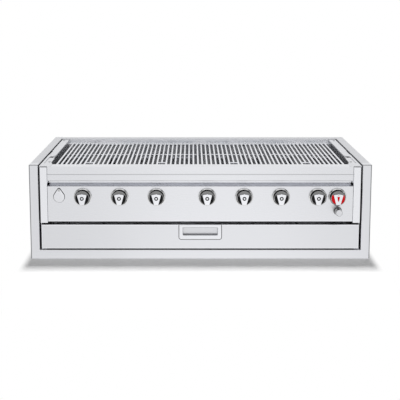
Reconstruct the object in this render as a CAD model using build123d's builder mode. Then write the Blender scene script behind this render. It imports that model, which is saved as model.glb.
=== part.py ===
from build123d import *
from math import radians, tan
import os

os.makedirs("parts", exist_ok=True)

# Driving dimensions, in millimetres
overall_width = 1372.0
overall_height = 387.0
body_depth = 675.0
igniter_reach = 48.0
knob_reach = 32.0
jacket_wall = 36.0
head_side_gap = 5.0
head_rear_gap = 3.0
head_drop = 5.0
sheet = 1.5
bend = 3.0
cut_over = 1.0
running_gap = 0.05
face_gap = 0.3

# The origin is the centre of the base under everything, the igniter's button included.
# X runs to the right, Y to the back and Z up.
half_width = overall_width / 2
front = (igniter_reach - body_depth) / 2
back = front + body_depth
bay_half = half_width - jacket_wall
head_half = bay_half - head_side_gap
head_top = overall_height - head_drop
head_back = back - jacket_wall - head_rear_gap

head_length = head_back - front

# Sizes of the head's front that its controls share
post_width = 31.0
panel_gap = 1.0
knob_radius = 30.0
bezel_clearance = 1.0
bezel_width = 6.0
bezel_gap = 4.5
collar_outer = 17.0
collar_gap = 0.9
post_inner = head_half - post_width
panel_half = post_inner - panel_gap
bezel_inner = knob_radius + bezel_clearance
bezel_outer = bezel_inner + bezel_width

# Places across the front: the lighting port, the knobs of the burners in two groups, and the last knob
port_margin = 46.0
port_to_burner = 95.0
pilot_margin = 63.0
middle_gap_share = 1.375
left_group_count = 3
right_group_count = 4
port_x = port_margin - panel_half
pilot_x = panel_half - pilot_margin
left_start = port_x + port_to_burner
right_end = pilot_x - 2 * bezel_outer - bezel_gap
pitch_count = left_group_count + right_group_count - 2 + middle_gap_share
burner_pitch = (right_end - left_start) / pitch_count
left_group = [left_start + i * burner_pitch for i in range(left_group_count)]
right_group = [right_end - i * burner_pitch for i in reversed(range(right_group_count))]
burner_places = left_group + right_group
control_places = burner_places + [pilot_x]

# Levels of the front, from the top of the head down to the foot of the control panel
grate_drop = 4.0
upper_band_height = 30.0
rail_height = 62.0
panel_recess = 21.0
knob_drop = 43.4
panel_foot = 47.7
igniter_offset = 1.0
grate_top = head_top - grate_drop
band_joint = head_top - upper_band_height
rail_bottom = head_top - rail_height
panel_face_top = rail_bottom - panel_recess
knob_height = panel_face_top - knob_drop
igniter_x = pilot_x + igniter_offset
igniter_height = knob_height - bezel_outer - collar_outer - collar_gap
panel_bottom = igniter_height - panel_foot

# Levels of the drawer, which takes the room that is left above the floor of the sleeve
drawer_gap = 5.5
drawer_lid_gap = 11.5
drawer_bottom = jacket_wall + drawer_gap
drawer_top = panel_bottom - drawer_lid_gap
drawer_height = drawer_top - drawer_bottom


# A plane square to the depth, seen from the front, some way behind the front face
def facing(depth):
    return Plane.XZ.offset(-(front + depth))


# The section of a sheet that is folded along a line of points, in the plane given
def folded(plane, points, side, radius=bend, thickness=sheet):
    with BuildSketch(plane) as section:
        with BuildLine():
            FilletPolyline(*points, radius=radius)
            offset(amount=thickness, side=side)
        make_face()
    return section.sketch


# Write one finished piece under its own name
def save(piece, name):
    piece.part.label = name
    export_step(piece.part, f"parts/{name}.step")


# Sleeve: the folded frame that shows at the front
skin = 1.2
frame_depth = 40.0

with BuildPart() as sleeve_front_frame:
    with BuildSketch(facing(0)):
        with Locations((0, overall_height / 2)):
            Rectangle(overall_width, overall_height)
        with Locations((0, jacket_wall + overall_height / 2)):
            Rectangle(2 * bay_half, overall_height, mode=Mode.SUBTRACT)
    extrude(amount=-frame_depth)
    front_face = sleeve_front_frame.faces().sort_by(Axis.Y)[0]
    top_edges = sleeve_front_frame.edges().filter_by(Axis.Y).group_by(Axis.Z)[-1]
    chamfer(front_face.edges() + top_edges, bend / 2)
    with BuildSketch(facing(frame_depth)):
        with Locations((0, overall_height / 2)):
            Rectangle(overall_width - 2 * skin, overall_height - 2 * skin)
        with Locations((0, jacket_wall - skin + overall_height / 2)):
            Rectangle(2 * (bay_half + skin), overall_height, mode=Mode.SUBTRACT)
    extrude(amount=frame_depth - skin, mode=Mode.SUBTRACT)
save(sleeve_front_frame, "sleeve_front_frame")

# Sleeve: the two side walls, hollow and open to the front frame
wall_length = body_depth - frame_depth
side_wall_x = half_width - jacket_wall / 2

for hand, name in ((-1, "left"), (1, "right")):
    with BuildPart() as sleeve_side_wall:
        with BuildSketch(facing(frame_depth)):
            with Locations((hand * side_wall_x, overall_height / 2)):
                Rectangle(jacket_wall, overall_height)
        extrude(amount=-wall_length)
        fillet(sleeve_side_wall.edges().filter_by(Axis.Y).group_by(Axis.Z)[-1], bend)
        with BuildSketch(facing(frame_depth)):
            with Locations((hand * side_wall_x, overall_height / 2)):
                Rectangle(jacket_wall - 2 * skin, overall_height - 2 * skin)
        extrude(amount=-(wall_length - skin), mode=Mode.SUBTRACT)
    save(sleeve_side_wall, f"sleeve_{name}_wall")

# Gas inlet: its place, and the sizes that the walls it passes through share
pipe_outer = 21.3
pipe_bore = 15.8
coupling_outer = 28.0
inlet_thread = 19.0
inlet_thread_length = 20.0
inlet_side_gap = 18.0
manifold_drop = 29.6
inlet_x = head_half - inlet_side_gap
manifold_height = knob_height - manifold_drop
coupling_length = jacket_wall + head_rear_gap + sheet

# Sleeve: the back wall, open at its foot, and the floor, open to the front frame
back_wall_height = overall_height - jacket_wall

with BuildPart() as sleeve_back_wall:
    with BuildSketch(Plane.XY.offset(jacket_wall)):
        with Locations((0, back - jacket_wall / 2)):
            Rectangle(2 * bay_half, jacket_wall)
    extrude(amount=back_wall_height)
    fillet(sleeve_back_wall.edges().filter_by(Axis.X).group_by(Axis.Z)[-1], bend)
    with BuildSketch(Plane.XY.offset(jacket_wall)):
        with Locations((0, back - jacket_wall / 2)):
            Rectangle(2 * (bay_half - skin), jacket_wall - 2 * skin)
    extrude(amount=back_wall_height - skin, mode=Mode.SUBTRACT)
    with BuildSketch(facing(body_depth)):
        with Locations((inlet_x, manifold_height)):
            Circle(coupling_outer / 2)
    extrude(amount=jacket_wall, mode=Mode.SUBTRACT)
save(sleeve_back_wall, "sleeve_back_wall")

with BuildPart() as sleeve_floor:
    with BuildSketch(facing(frame_depth)):
        with Locations((0, jacket_wall / 2)):
            Rectangle(2 * bay_half, jacket_wall)
    extrude(amount=-wall_length)
    with BuildSketch(facing(frame_depth)):
        with Locations((0, jacket_wall / 2)):
            Rectangle(2 * (bay_half - skin), jacket_wall - 2 * skin)
    extrude(amount=-(wall_length - skin), mode=Mode.SUBTRACT)
save(sleeve_floor, "sleeve_floor")

# Insulation: four boards that fill the hollow walls
board = jacket_wall - 2 * (skin + face_gap)
board_length = wall_length - skin - 2 * face_gap
board_middle_y = front + frame_depth + face_gap + board_length / 2
side_board_height = overall_height - 2 * (skin + face_gap)
inner_board_width = 2 * (bay_half - skin - face_gap)
back_board_height = back_wall_height - skin - 2 * face_gap
board_hole = coupling_outer / 2 + face_gap

with BuildPart() as sleeve_insulation:
    with BuildSketch(Plane.XY.offset(skin + face_gap)):
        with Locations((-side_wall_x, board_middle_y), (side_wall_x, board_middle_y)):
            Rectangle(board, board_length)
    extrude(amount=side_board_height)
    with BuildSketch(Plane.XY.offset(skin + face_gap)):
        with Locations((0, board_middle_y)):
            Rectangle(inner_board_width, board_length)
    extrude(amount=board)
    with BuildSketch(Plane.XY.offset(jacket_wall + face_gap)):
        with Locations((0, back - jacket_wall / 2)):
            Rectangle(inner_board_width, board)
    extrude(amount=back_board_height)
    with BuildSketch(facing(body_depth)):
        with Locations((inlet_x, manifold_height)):
            Circle(board_hole)
    extrude(amount=jacket_wall, mode=Mode.SUBTRACT)
save(sleeve_insulation, "sleeve_insulation")

# Head: the side panels, each with the bright post folded into its front
post_return = 25.0
post_foot_gap = 7.5
post_lid_gap = 3.0
web_setback = 22.0
foot_width = 20.0
top_plate = 2.0
plate_under = head_top - top_plate
post_bottom = drawer_top + post_foot_gap
web_inner = head_half - sheet
foot_back = head_back - sheet - face_gap

for hand, name in ((-1, "left"), (1, "right")):
    inner_side = Side.RIGHT if hand < 0 else Side.LEFT
    post_line = (
        (hand * post_inner, front + post_return),
        (hand * post_inner, front),
        (hand * head_half, front),
        (hand * head_half, head_back),
    )
    with BuildPart() as side_panel:
        post_section = folded(Plane.XY.offset(post_bottom), post_line, inner_side)
        extrude(post_section, amount=plate_under - post_bottom)
        with BuildSketch(Plane.XY.offset(plate_under - post_lid_gap)):
            with Locations((hand * (post_inner + post_width / 2), front + post_return / 2)):
                Rectangle(post_width + cut_over, post_return + cut_over)
        extrude(amount=post_lid_gap + cut_over, mode=Mode.SUBTRACT)
        with BuildSketch(Plane.XY.offset(jacket_wall)):
            with Locations((hand * (head_half - sheet / 2), (front + web_setback + head_back) / 2)):
                Rectangle(sheet, head_back - front - web_setback)
        extrude(amount=post_bottom - jacket_wall)
        with BuildSketch(Plane.XY.offset(jacket_wall)):
            with Locations((hand * (head_half - foot_width / 2), (front + web_setback + foot_back) / 2)):
                Rectangle(foot_width, foot_back - front - web_setback)
        extrude(amount=sheet)
    save(side_panel, f"{name}_side_panel")

# Head: the top plates, with the outlines of the one on the right as distances in from its outer edge
plate_front_width = 47.0
plate_waist = 37.0
plate_rear_width = 32.0
flare_front = 40.0
flare_back = 78.0
notch_front = 158.0
notch_back = 228.0
notch_mouth = 22.0
notch_reach = 12.0
notch_floor = 28.0
edge_notch_start = 250.0
edge_notch_length = 77.0
edge_notch_depth = 4.0
slit_width = 3.0
slit_start = 58.0
screw_hole = 2.5
front_screw_inset = 28.0
front_screw_depth = 88.0
rear_screw_inset = 11.0
rear_screw_margin = 17.0
riser_margin = 15.0
riser_depth = head_length - riser_margin
front_screw = (front_screw_inset, front_screw_depth)
rear_screw = (rear_screw_inset, riser_depth - rear_screw_margin)
notch_middle = (notch_front + notch_back) / 2

plate_outline = (
    (0, 0),
    (0, edge_notch_start),
    (edge_notch_depth, edge_notch_start),
    (edge_notch_depth, edge_notch_start + edge_notch_length),
    (0, edge_notch_start + edge_notch_length),
    (0, head_length),
    (plate_rear_width, head_length),
    (plate_rear_width, notch_back),
    (notch_mouth, notch_middle + notch_floor / 2),
    (notch_reach, notch_middle + notch_floor / 2),
    (notch_reach, notch_middle - notch_floor / 2),
    (notch_mouth, notch_middle - notch_floor / 2),
    (plate_waist, notch_front),
    (plate_waist, flare_back),
    (plate_front_width, flare_front),
    (plate_front_width, 0),
)


# A point on a top plate, from its distance in from the outer edge and its depth
def plate_point(hand, point):
    return (hand * (head_half - point[0]), front + point[1])


slit_length = notch_middle - slit_start

for hand, name in ((-1, "left"), (1, "right")):
    with BuildPart() as top_side_plate:
        with BuildSketch(Plane.XY.offset(plate_under)):
            with BuildLine():
                Polyline(*[plate_point(hand, point) for point in plate_outline], close=True)
            make_face()
            with Locations(plate_point(hand, (notch_reach, slit_start + slit_length / 2))):
                Rectangle(slit_width, slit_length, mode=Mode.SUBTRACT)
            with Locations(plate_point(hand, front_screw), plate_point(hand, rear_screw)):
                Circle(screw_hole, mode=Mode.SUBTRACT)
        extrude(amount=top_plate)
    save(top_side_plate, f"{name}_top_plate")

# Head: the rear panel, with a flange that closes the gap between the top plates
rear_flange = 15.0
rear_corner_gap = 0.5
rear_flange_half = head_half - plate_rear_width - rear_corner_gap

with BuildPart() as rear_panel:
    rear_line = ((head_back, jacket_wall), (head_back, head_top), (head_back - rear_flange, head_top))
    extrude(folded(Plane.YZ.offset(-web_inner), rear_line, Side.LEFT), amount=2 * web_inner)
    corner_width = web_inner - rear_flange_half
    with BuildSketch(Plane.XY.offset(plate_under - rear_corner_gap)):
        for hand in (-1, 1):
            with Locations((hand * (rear_flange_half + corner_width / 2 + cut_over), head_back)):
                Rectangle(corner_width + 2 * cut_over, 2 * (rear_flange + cut_over))
    extrude(amount=top_plate + rear_corner_gap + cut_over, mode=Mode.SUBTRACT)
    with BuildSketch(Plane.XZ.offset(-head_back)):
        with Locations((inlet_x, manifold_height)):
            Circle(coupling_outer / 2)
    extrude(amount=sheet, mode=Mode.SUBTRACT)
save(rear_panel, "rear_panel")

# Grates: the sizes that the firebox and the rails share with them
rod_across = 8.0
grate_front = 42.0
rod_sides = 8
rod_turn = 180 / rod_sides
ledge_level = grate_top - rod_across - face_gap

# Head: the front rail, two bands of one folded sheet, with a raised strip at each end of the lower band
rail_flange = 39.0
rail_return = 36.0
band_step = 1.0
end_strip_width = 5.0
end_strip_height = 27.0
end_strip_rise = 0.8
rail_end_gap = 0.5

with BuildPart() as front_rail:
    rail_line = (
        (front + rail_flange, ledge_level),
        (front + rail_flange, head_top),
        (front + band_step, head_top),
        (front + band_step, band_joint),
        (front, band_joint - band_step),
        (front, rail_bottom),
        (front + rail_return, rail_bottom),
    )
    rail_bends = (bend, bend, 0, 0, bend)
    rail_section = folded(Plane.YZ.offset(-panel_half), rail_line, Side.LEFT, radius=rail_bends)
    extrude(rail_section, amount=2 * panel_half)
    with BuildSketch(facing(0)):
        for hand in (-1, 1):
            strip_x = hand * (panel_half - end_strip_width / 2)
            with Locations((strip_x, band_joint - band_step - end_strip_height / 2)):
                Rectangle(end_strip_width, end_strip_height)
    extrude(amount=end_strip_rise)
    with BuildSketch(Plane.XY.offset(plate_under - face_gap)):
        for hand in (-1, 1):
            corner_x = hand * (head_half - plate_front_width / 2 - rail_end_gap)
            with Locations((corner_x, front + rail_flange / 2)):
                Rectangle(plate_front_width, rail_flange + 2 * cut_over)
    extrude(amount=top_plate + face_gap + cut_over, mode=Mode.SUBTRACT)
save(front_rail, "front_rail")

# Controls: sizes that the panel shares with what it carries
stem_opening = 12.0
port_side = 29.0
cover_pivot_rise = 27.4
rivet_radius = 2.5
igniter_neck = 8.0

# Head: the control panel, one folded sheet with a sloping ledge and an upstand behind it
panel_ledge = 34.0
panel_ledge_rise = 7.0
panel_return = 20.0
panel_bend = 5.0
ledge_mitre = 8.0

with BuildPart() as control_panel:
    panel_line = (
        (front + panel_return, panel_bottom),
        (front, panel_bottom),
        (front, panel_face_top),
        (front + panel_ledge, panel_face_top + panel_ledge_rise),
        (front + panel_ledge, rail_bottom),
    )
    panel_bends = (panel_bend, bend, bend)
    panel_section = folded(Plane.YZ.offset(-panel_half), panel_line, Side.RIGHT, radius=panel_bends)
    extrude(panel_section, amount=2 * panel_half)
    with BuildSketch(Plane.XY.offset(panel_face_top)):
        for hand in (-1, 1):
            with BuildLine():
                Polyline(
                    (hand * panel_half, front + bend),
                    (hand * (panel_half + cut_over), front + bend),
                    (hand * (panel_half + cut_over), front + panel_ledge + cut_over),
                    (hand * (panel_half - ledge_mitre), front + panel_ledge + cut_over),
                    close=True,
                )
            make_face()
    extrude(amount=rail_bottom - panel_face_top + cut_over, mode=Mode.SUBTRACT)
    with BuildSketch(facing(sheet)):
        with Locations(*[(x, knob_height) for x in control_places]):
            Rectangle(stem_opening, stem_opening)
        with Locations((port_x, knob_height)):
            Rectangle(port_side, port_side)
        with Locations((port_x, knob_height + cover_pivot_rise)):
            Circle(rivet_radius)
        with Locations((igniter_x, igniter_height)):
            Circle(igniter_neck)
    extrude(amount=sheet, mode=Mode.SUBTRACT)
save(control_panel, "control_panel")

# Burners: the sizes that the firebox shares with them
burner_half = 15.0
burner_shoulder = 3.0
burner_wall = 1.5


# The section of a burner, square below and peaked like a roof above, drawn smaller by the inset
def burner_section(plane, x, inset=0):
    with BuildSketch(plane) as section:
        with BuildLine():
            Polyline(
                (x - burner_half, knob_height - burner_half),
                (x + burner_half, knob_height - burner_half),
                (x + burner_half, knob_height + burner_shoulder),
                (x, knob_height + burner_half),
                (x - burner_half, knob_height + burner_shoulder),
                close=True,
            )
        make_face()
        if inset:
            offset(amount=-inset, kind=Kind.INTERSECTION)
    return section.sketch


# Firebox: five sheets welded at the corners, open above and below
firebox_side_gap = 33.0
ledge_front = 37.0
ledge_inner_front = 53.0
ledge_width = 40.0
riser_height = 24.7
burner_wall_rise = 34.4
burner_wall_depth = 108.0
firebox_foot_rise = 12.0
flange_reach = 28.0
rear_flange_reach = 12.0
radiant_rise = 49.4
strip_width = 14.0
burner_rest = 24.0
pilot_side = 9.0
electrode_radius = 4.0
electrode_offset = 24.0
electrode_drop = 19.6
firebox_half = head_half - firebox_side_gap
ledge_inner_back = riser_depth - ledge_width
slope_top = ledge_level - riser_height
burner_wall_top = knob_height + burner_wall_rise
firebox_foot = panel_bottom + firebox_foot_rise
radiant_level = knob_height + radiant_rise
electrode_x = pilot_x + electrode_offset
electrode_height = knob_height - electrode_drop

# Firebox: the front sheet, which slopes back under the ledge to leave room for the valves
with BuildPart() as firebox_front:
    front_wall = (
        (front + ledge_front, ledge_level),
        (front + ledge_inner_front, ledge_level),
        (front + ledge_inner_front, slope_top),
        (front + burner_wall_depth, burner_wall_top),
    )
    front_section = folded(Plane.YZ.offset(-firebox_half), front_wall, Side.RIGHT, radius=0)
    extrude(front_section, amount=2 * firebox_half)
    with BuildSketch(facing(burner_wall_depth - sheet)):
        with Locations((0, burner_wall_top)):
            Rectangle(2 * (firebox_half + cut_over), riser_height)
    extrude(amount=-2 * sheet, mode=Mode.SUBTRACT)
save(firebox_front, "firebox_front")

# Firebox: the wall that the burners pass through, folded inwards at its top to carry the radiants
with BuildPart() as burner_front_wall:
    wall_line = (
        (front + burner_wall_depth + strip_width, radiant_level - sheet),
        (front + burner_wall_depth, radiant_level - sheet),
        (front + burner_wall_depth, firebox_foot),
    )
    wall_section = folded(Plane.YZ.offset(-firebox_half), wall_line, Side.RIGHT, radius=0)
    extrude(wall_section, amount=2 * firebox_half)
    for x in burner_places:
        extrude(burner_section(facing(burner_wall_depth), x), amount=sheet, mode=Mode.SUBTRACT)
    with BuildSketch(facing(burner_wall_depth)):
        with Locations((pilot_x, knob_height)):
            Rectangle(pilot_side, pilot_side)
        with Locations((port_x, knob_height)):
            Rectangle(port_side, port_side)
        with Locations((electrode_x, electrode_height)):
            Circle(electrode_radius)
    extrude(amount=sheet, mode=Mode.SUBTRACT)
save(burner_front_wall, "firebox_burner_wall")

# Firebox: the rear sheet, with a strip for the radiants and a rest for the burners
with BuildPart() as firebox_rear:
    rear_wall = (
        (front + riser_depth + rear_flange_reach, head_top - sheet),
        (front + riser_depth, head_top - sheet),
        (front + riser_depth, ledge_level),
        (front + ledge_inner_back, ledge_level),
        (front + ledge_inner_back, firebox_foot),
    )
    rear_section = folded(Plane.YZ.offset(-firebox_half), rear_wall, Side.LEFT, radius=0)
    extrude(rear_section, amount=2 * firebox_half)
    for level, width in ((radiant_level, strip_width), (knob_height - burner_half, burner_rest)):
        with BuildSketch(Plane.XY.offset(level - sheet)):
            with Locations((0, front + ledge_inner_back - width / 2)):
                Rectangle(2 * firebox_half, width)
        extrude(amount=sheet)
save(firebox_rear, "firebox_rear")

# Firebox: the side sheets, each with a flange under its top plate, open below the notch of that plate
flange_notch_border = 2.0
flange_notch_width = notch_mouth - notch_reach + 2 * flange_notch_border
flange_notch_length = notch_floor + 2 * flange_notch_border
flange_notch_spot = ((notch_mouth + notch_reach) / 2, notch_middle)
flange_length = riser_depth - rail_flange
flange_middle = front + (riser_depth + rail_flange) / 2
side_outline = (
    (front + rail_flange, plate_under),
    (front + rail_flange, ledge_level),
    (front + ledge_front, ledge_level),
    (front + ledge_front, ledge_level - sheet),
    (front + ledge_inner_front - sheet, ledge_level - sheet),
    (front + ledge_inner_front - sheet, slope_top),
    (front + burner_wall_depth - sheet, burner_wall_top),
    (front + burner_wall_depth - sheet, firebox_foot),
    (front + ledge_inner_back + sheet, firebox_foot),
    (front + ledge_inner_back + sheet, ledge_level - sheet),
    (front + riser_depth + sheet, ledge_level - sheet),
    (front + riser_depth + sheet, plate_under),
)

for hand, name in ((-1, "left"), (1, "right")):
    with BuildPart() as firebox_side:
        with BuildSketch(Plane.YZ.offset(hand * (firebox_half + sheet / 2) - sheet / 2)):
            with BuildLine():
                Polyline(*side_outline, close=True)
            make_face()
        extrude(amount=sheet)
        with BuildSketch(Plane.XY.offset(plate_under - sheet)):
            with Locations((hand * (firebox_half + flange_reach / 2), flange_middle)):
                Rectangle(flange_reach, flange_length)
            with Locations(plate_point(hand, front_screw), plate_point(hand, rear_screw)):
                Circle(screw_hole, mode=Mode.SUBTRACT)
            with Locations(plate_point(hand, flange_notch_spot)):
                Rectangle(flange_notch_width, flange_notch_length, mode=Mode.SUBTRACT)
        extrude(amount=sheet)
    save(firebox_side, f"firebox_{name}")

# Radiants: a bent sheet above each burner, standing on the strips of the firebox
radiant_half = 50.0
radiant_peak = 27.0
radiant_front_gap = 4.0
radiant_back_gap = 4.0
radiant_bend = 6.0
radiant_apex = radiant_level + radiant_peak
radiant_front = burner_wall_depth + radiant_front_gap
radiant_length = ledge_inner_back - radiant_back_gap - radiant_front

with BuildPart() as radiants:
    for x in burner_places:
        radiant_feet = [(x + hand * radiant_half, radiant_level) for hand in (-1, 1)]
        radiant_line = (radiant_feet[0], (x, radiant_apex), radiant_feet[1])
        radiant_section = folded(facing(radiant_front), radiant_line, Side.LEFT, radius=radiant_bend)
        extrude(radiant_section, amount=-radiant_length)
save(radiants, "radiants")

# Burners: folded tubes with flame slots along the ridge and an air window at each side of the mouth
burner_front = 78.0
burner_back_gap = 15.0
flame_slot_width = 2.0
flame_slot_gap = 30.0
flame_end_gap = 26.5
flame_slot_count = 3
air_window_depth = 92.0
air_window_length = 16.0
air_window_height = 12.0
burner_back = ledge_inner_back - burner_back_gap
burner_length = burner_back - burner_front
flame_slot_pitch = (burner_back - burner_wall_depth - 2 * flame_end_gap) / flame_slot_count
flame_slot_length = flame_slot_pitch - flame_slot_gap
flame_middle = front + (burner_wall_depth + burner_back) / 2

for place, x in enumerate(burner_places, start=1):
    with BuildPart() as burner:
        extrude(burner_section(facing(burner_front), x), amount=-burner_length)
        burner_bore = burner_section(facing(burner_front), x, inset=burner_wall)
        extrude(burner_bore, amount=-(burner_length - burner_wall), mode=Mode.SUBTRACT)
        with BuildSketch(Plane.XY.offset(knob_height)):
            with Locations((x, flame_middle)):
                with GridLocations(0, flame_slot_pitch, 1, flame_slot_count):
                    Rectangle(flame_slot_width, flame_slot_length)
        extrude(amount=burner_half, mode=Mode.SUBTRACT)
        with BuildSketch(Plane.YZ.offset(x - burner_half)):
            with Locations((front + air_window_depth, knob_height - burner_shoulder)):
                Rectangle(air_window_length, air_window_height)
        extrude(amount=2 * burner_half, mode=Mode.SUBTRACT)
    save(burner, f"burner_{place}")

# Pilot burner: a square tube with mitred corners and a flame slot under each main burner
pilot_wall = 1.0
pilot_mouth = 76.0
pilot_run_depth = 130.0
pilot_run_drop = 27.6
pilot_run_past = 28.0
pilot_slot_length = 20.0
pilot_slot_width = 1.2
pilot_run_height = knob_height - pilot_run_drop
pilot_run_end = left_start - pilot_run_past

with BuildPart() as pilot_burner:
    with BuildLine() as pilot_path:
        Polyline(
            (pilot_x, front + pilot_mouth, knob_height),
            (pilot_x, front + pilot_run_depth, knob_height),
            (pilot_x, front + pilot_run_depth, pilot_run_height),
            (pilot_run_end, front + pilot_run_depth, pilot_run_height),
        )
    with BuildSketch(facing(pilot_mouth)):
        with Locations((pilot_x, knob_height)):
            Rectangle(pilot_side, pilot_side)
            Rectangle(pilot_side - 2 * pilot_wall, pilot_side - 2 * pilot_wall, mode=Mode.SUBTRACT)
    sweep(path=pilot_path.wires()[0], transition=Transition.RIGHT)
    with BuildSketch(Plane.XY.offset(pilot_run_height)):
        with Locations(*[(x, front + pilot_run_depth) for x in burner_places]):
            Rectangle(pilot_slot_length, pilot_slot_width)
    extrude(amount=pilot_side, mode=Mode.SUBTRACT)
save(pilot_burner, "pilot_burner")

# Gas manifold: a square tube between the side panels, closed at its ends, with a hole for the inlet
manifold_side = 30.0
manifold_wall = 2.5
manifold_depth = 56.0

with BuildPart() as gas_manifold:
    with BuildSketch(Plane.YZ.offset(-web_inner)):
        with Locations((front + manifold_depth, manifold_height)):
            Rectangle(manifold_side, manifold_side)
    extrude(amount=2 * web_inner)
    with BuildSketch(Plane.YZ.offset(manifold_wall - web_inner)):
        with Locations((front + manifold_depth, manifold_height)):
            Rectangle(manifold_side - 2 * manifold_wall, manifold_side - 2 * manifold_wall)
    extrude(amount=2 * (web_inner - manifold_wall), mode=Mode.SUBTRACT)
    with BuildSketch(facing(manifold_depth)):
        with Locations((inlet_x, manifold_height)):
            Circle(pipe_outer / 2)
    extrude(amount=-manifold_side, mode=Mode.SUBTRACT)
save(gas_manifold, "gas_manifold")

# Gas inlet: the pipe along the side, with a threaded coupling through the back of the sleeve
inlet_start = manifold_depth + manifold_side / 2 - manifold_wall
coupling_start = body_depth - coupling_length

with BuildPart() as gas_inlet_pipe:
    with BuildSketch(facing(inlet_start)):
        with Locations((inlet_x, manifold_height)):
            Circle(pipe_outer / 2)
    extrude(amount=-(coupling_start - inlet_start))
    with BuildSketch(facing(coupling_start)):
        with Locations((inlet_x, manifold_height)):
            Circle(coupling_outer / 2)
    extrude(amount=-coupling_length)
    with BuildSketch(facing(body_depth)):
        with Locations((inlet_x, manifold_height)):
            Circle(inlet_thread / 2)
    extrude(amount=inlet_thread_length, mode=Mode.SUBTRACT)
    with BuildSketch(facing(inlet_start)):
        with Locations((inlet_x, manifold_height)):
            Circle(pipe_bore / 2)
    extrude(amount=-(body_depth - inlet_start), mode=Mode.SUBTRACT)
save(gas_inlet_pipe, "gas_inlet_pipe")

# Gas valves: a brass body on the manifold for each knob, with a six-sided nozzle into the burner behind it
valve_front = 18.0
valve_back = 62.0
valve_width = 26.0
valve_foot = manifold_height + manifold_side / 2
valve_top = knob_height + valve_width / 2
nozzle_radius = 5.0
nozzle_tip = 84.0
stem_radius = 4.0
stem_end = 42.0
stem_bore = stem_radius + running_gap
stem_bore_end = 44.0

with BuildPart() as gas_valves:
    with BuildSketch(facing(valve_front)):
        with Locations(*[(x, (valve_foot + valve_top) / 2) for x in control_places]):
            Rectangle(valve_width, valve_top - valve_foot)
    extrude(amount=-(valve_back - valve_front))
    with BuildSketch(facing(valve_back)):
        with Locations(*[(x, knob_height) for x in burner_places]):
            RegularPolygon(nozzle_radius, 6)
    extrude(amount=-(nozzle_tip - valve_back))
    with BuildSketch(facing(valve_back)):
        with Locations((pilot_x, knob_height)):
            RegularPolygon(nozzle_radius, 6)
    extrude(amount=-(pilot_mouth - valve_back))
    with BuildSketch(facing(valve_front)):
        with Locations(*[(x, knob_height) for x in control_places]):
            Circle(stem_bore)
    extrude(amount=-(stem_bore_end - valve_front), mode=Mode.SUBTRACT)
save(gas_valves, "gas_valves")

# Valve stems: a round shaft with a flat along the end that carries the knob
grip_height = 8.0
stem_cover = 9.0
stem_flat = 2.0
knob_face = knob_reach - grip_height
stem_reach = knob_face - stem_cover
knob_start = 6.0
knob_travel = 3.0
stem_flat_start = knob_start - knob_travel - face_gap

for place, x in enumerate(control_places, start=1):
    with BuildPart() as valve_stem:
        with BuildSketch(facing(stem_end)):
            with Locations((x, knob_height)):
                Circle(stem_radius)
        extrude(amount=stem_end + stem_reach)
        with BuildSketch(facing(-stem_flat_start)):
            with Locations((x, knob_height - stem_flat - stem_radius / 2)):
                Rectangle(2 * stem_radius, stem_radius)
        extrude(amount=stem_reach - stem_flat_start, mode=Mode.SUBTRACT)
    save(valve_stem, f"valve_stem_{place}")

# Knobs: a tapered body with a raised fan-shaped grip and a pointer notch at its top
knob_face_radius = 29.0
grip_half_top = 20.0
grip_corner_height = 13.0
grip_top = 19.8
grip_half_foot = 8.5
grip_foot = 24.5
grip_foot_low = 25.9
grip_draft_angle = 4
pointer_half_width = 2.1
pointer_depth = 5.5
slot_top = 11.5
slot_foot = 8.0
slot_half_top = 5.5
slot_half_foot = 2.0
slot_depth = 2.0


# Half the section of a knob's turned body, beside its axis
def knob_section(x):
    with BuildSketch(Plane.YZ.offset(x)) as section:
        with BuildLine():
            Polyline(
                (front - knob_start, knob_height),
                (front - knob_start, knob_height + knob_radius),
                (front - knob_face, knob_height + knob_face_radius),
                (front - knob_face, knob_height),
                close=True,
            )
        make_face()
    return section.sketch


# The outline of a knob's grip, wide at the top and narrow at the foot
def grip_section(x):
    top_left = (x - grip_half_top, knob_height + grip_corner_height)
    top_right = (x + grip_half_top, knob_height + grip_corner_height)
    foot_left = (x - grip_half_foot, knob_height - grip_foot)
    foot_right = (x + grip_half_foot, knob_height - grip_foot)
    with BuildSketch(facing(-knob_face)) as section:
        with BuildLine():
            ThreePointArc(top_left, (x, knob_height + grip_top), top_right)
            Line(top_right, foot_right)
            ThreePointArc(foot_right, (x, knob_height - grip_foot_low), foot_left)
            Line(foot_left, top_left)
        make_face()
    return section.sketch


for place, x in enumerate(control_places, start=1):
    with BuildPart() as knob:
        revolve(knob_section(x), axis=Axis((x, front, knob_height), (0, 1, 0)))
        extrude(grip_section(x), amount=knob_reach - knob_face, taper=grip_draft_angle)
        with BuildSketch(facing(-knob_face)):
            with Locations((x, knob_height + grip_top - pointer_depth / 2 + cut_over / 2)):
                Rectangle(2 * pointer_half_width, pointer_depth + cut_over)
        extrude(amount=knob_reach - knob_face + cut_over, mode=Mode.SUBTRACT)
        with BuildSketch(facing(-knob_start)):
            with Locations((x, knob_height)):
                Circle(stem_radius + running_gap)
            with Locations((x, knob_height - stem_flat - running_gap - stem_radius / 2)):
                Rectangle(3 * stem_radius, stem_radius, mode=Mode.SUBTRACT)
        extrude(amount=stem_reach + knob_travel + face_gap - knob_start, mode=Mode.SUBTRACT)
        if x == pilot_x:
            with BuildSketch(facing(-knob_reach)):
                with BuildLine():
                    Polyline(
                        (x - slot_half_top, knob_height + slot_top),
                        (x + slot_half_top, knob_height + slot_top),
                        (x + slot_half_foot, knob_height - slot_foot),
                        (x - slot_half_foot, knob_height - slot_foot),
                        close=True,
                    )
                make_face()
            extrude(amount=-slot_depth, mode=Mode.SUBTRACT)
    save(knob, f"knob_{place}")

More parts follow.
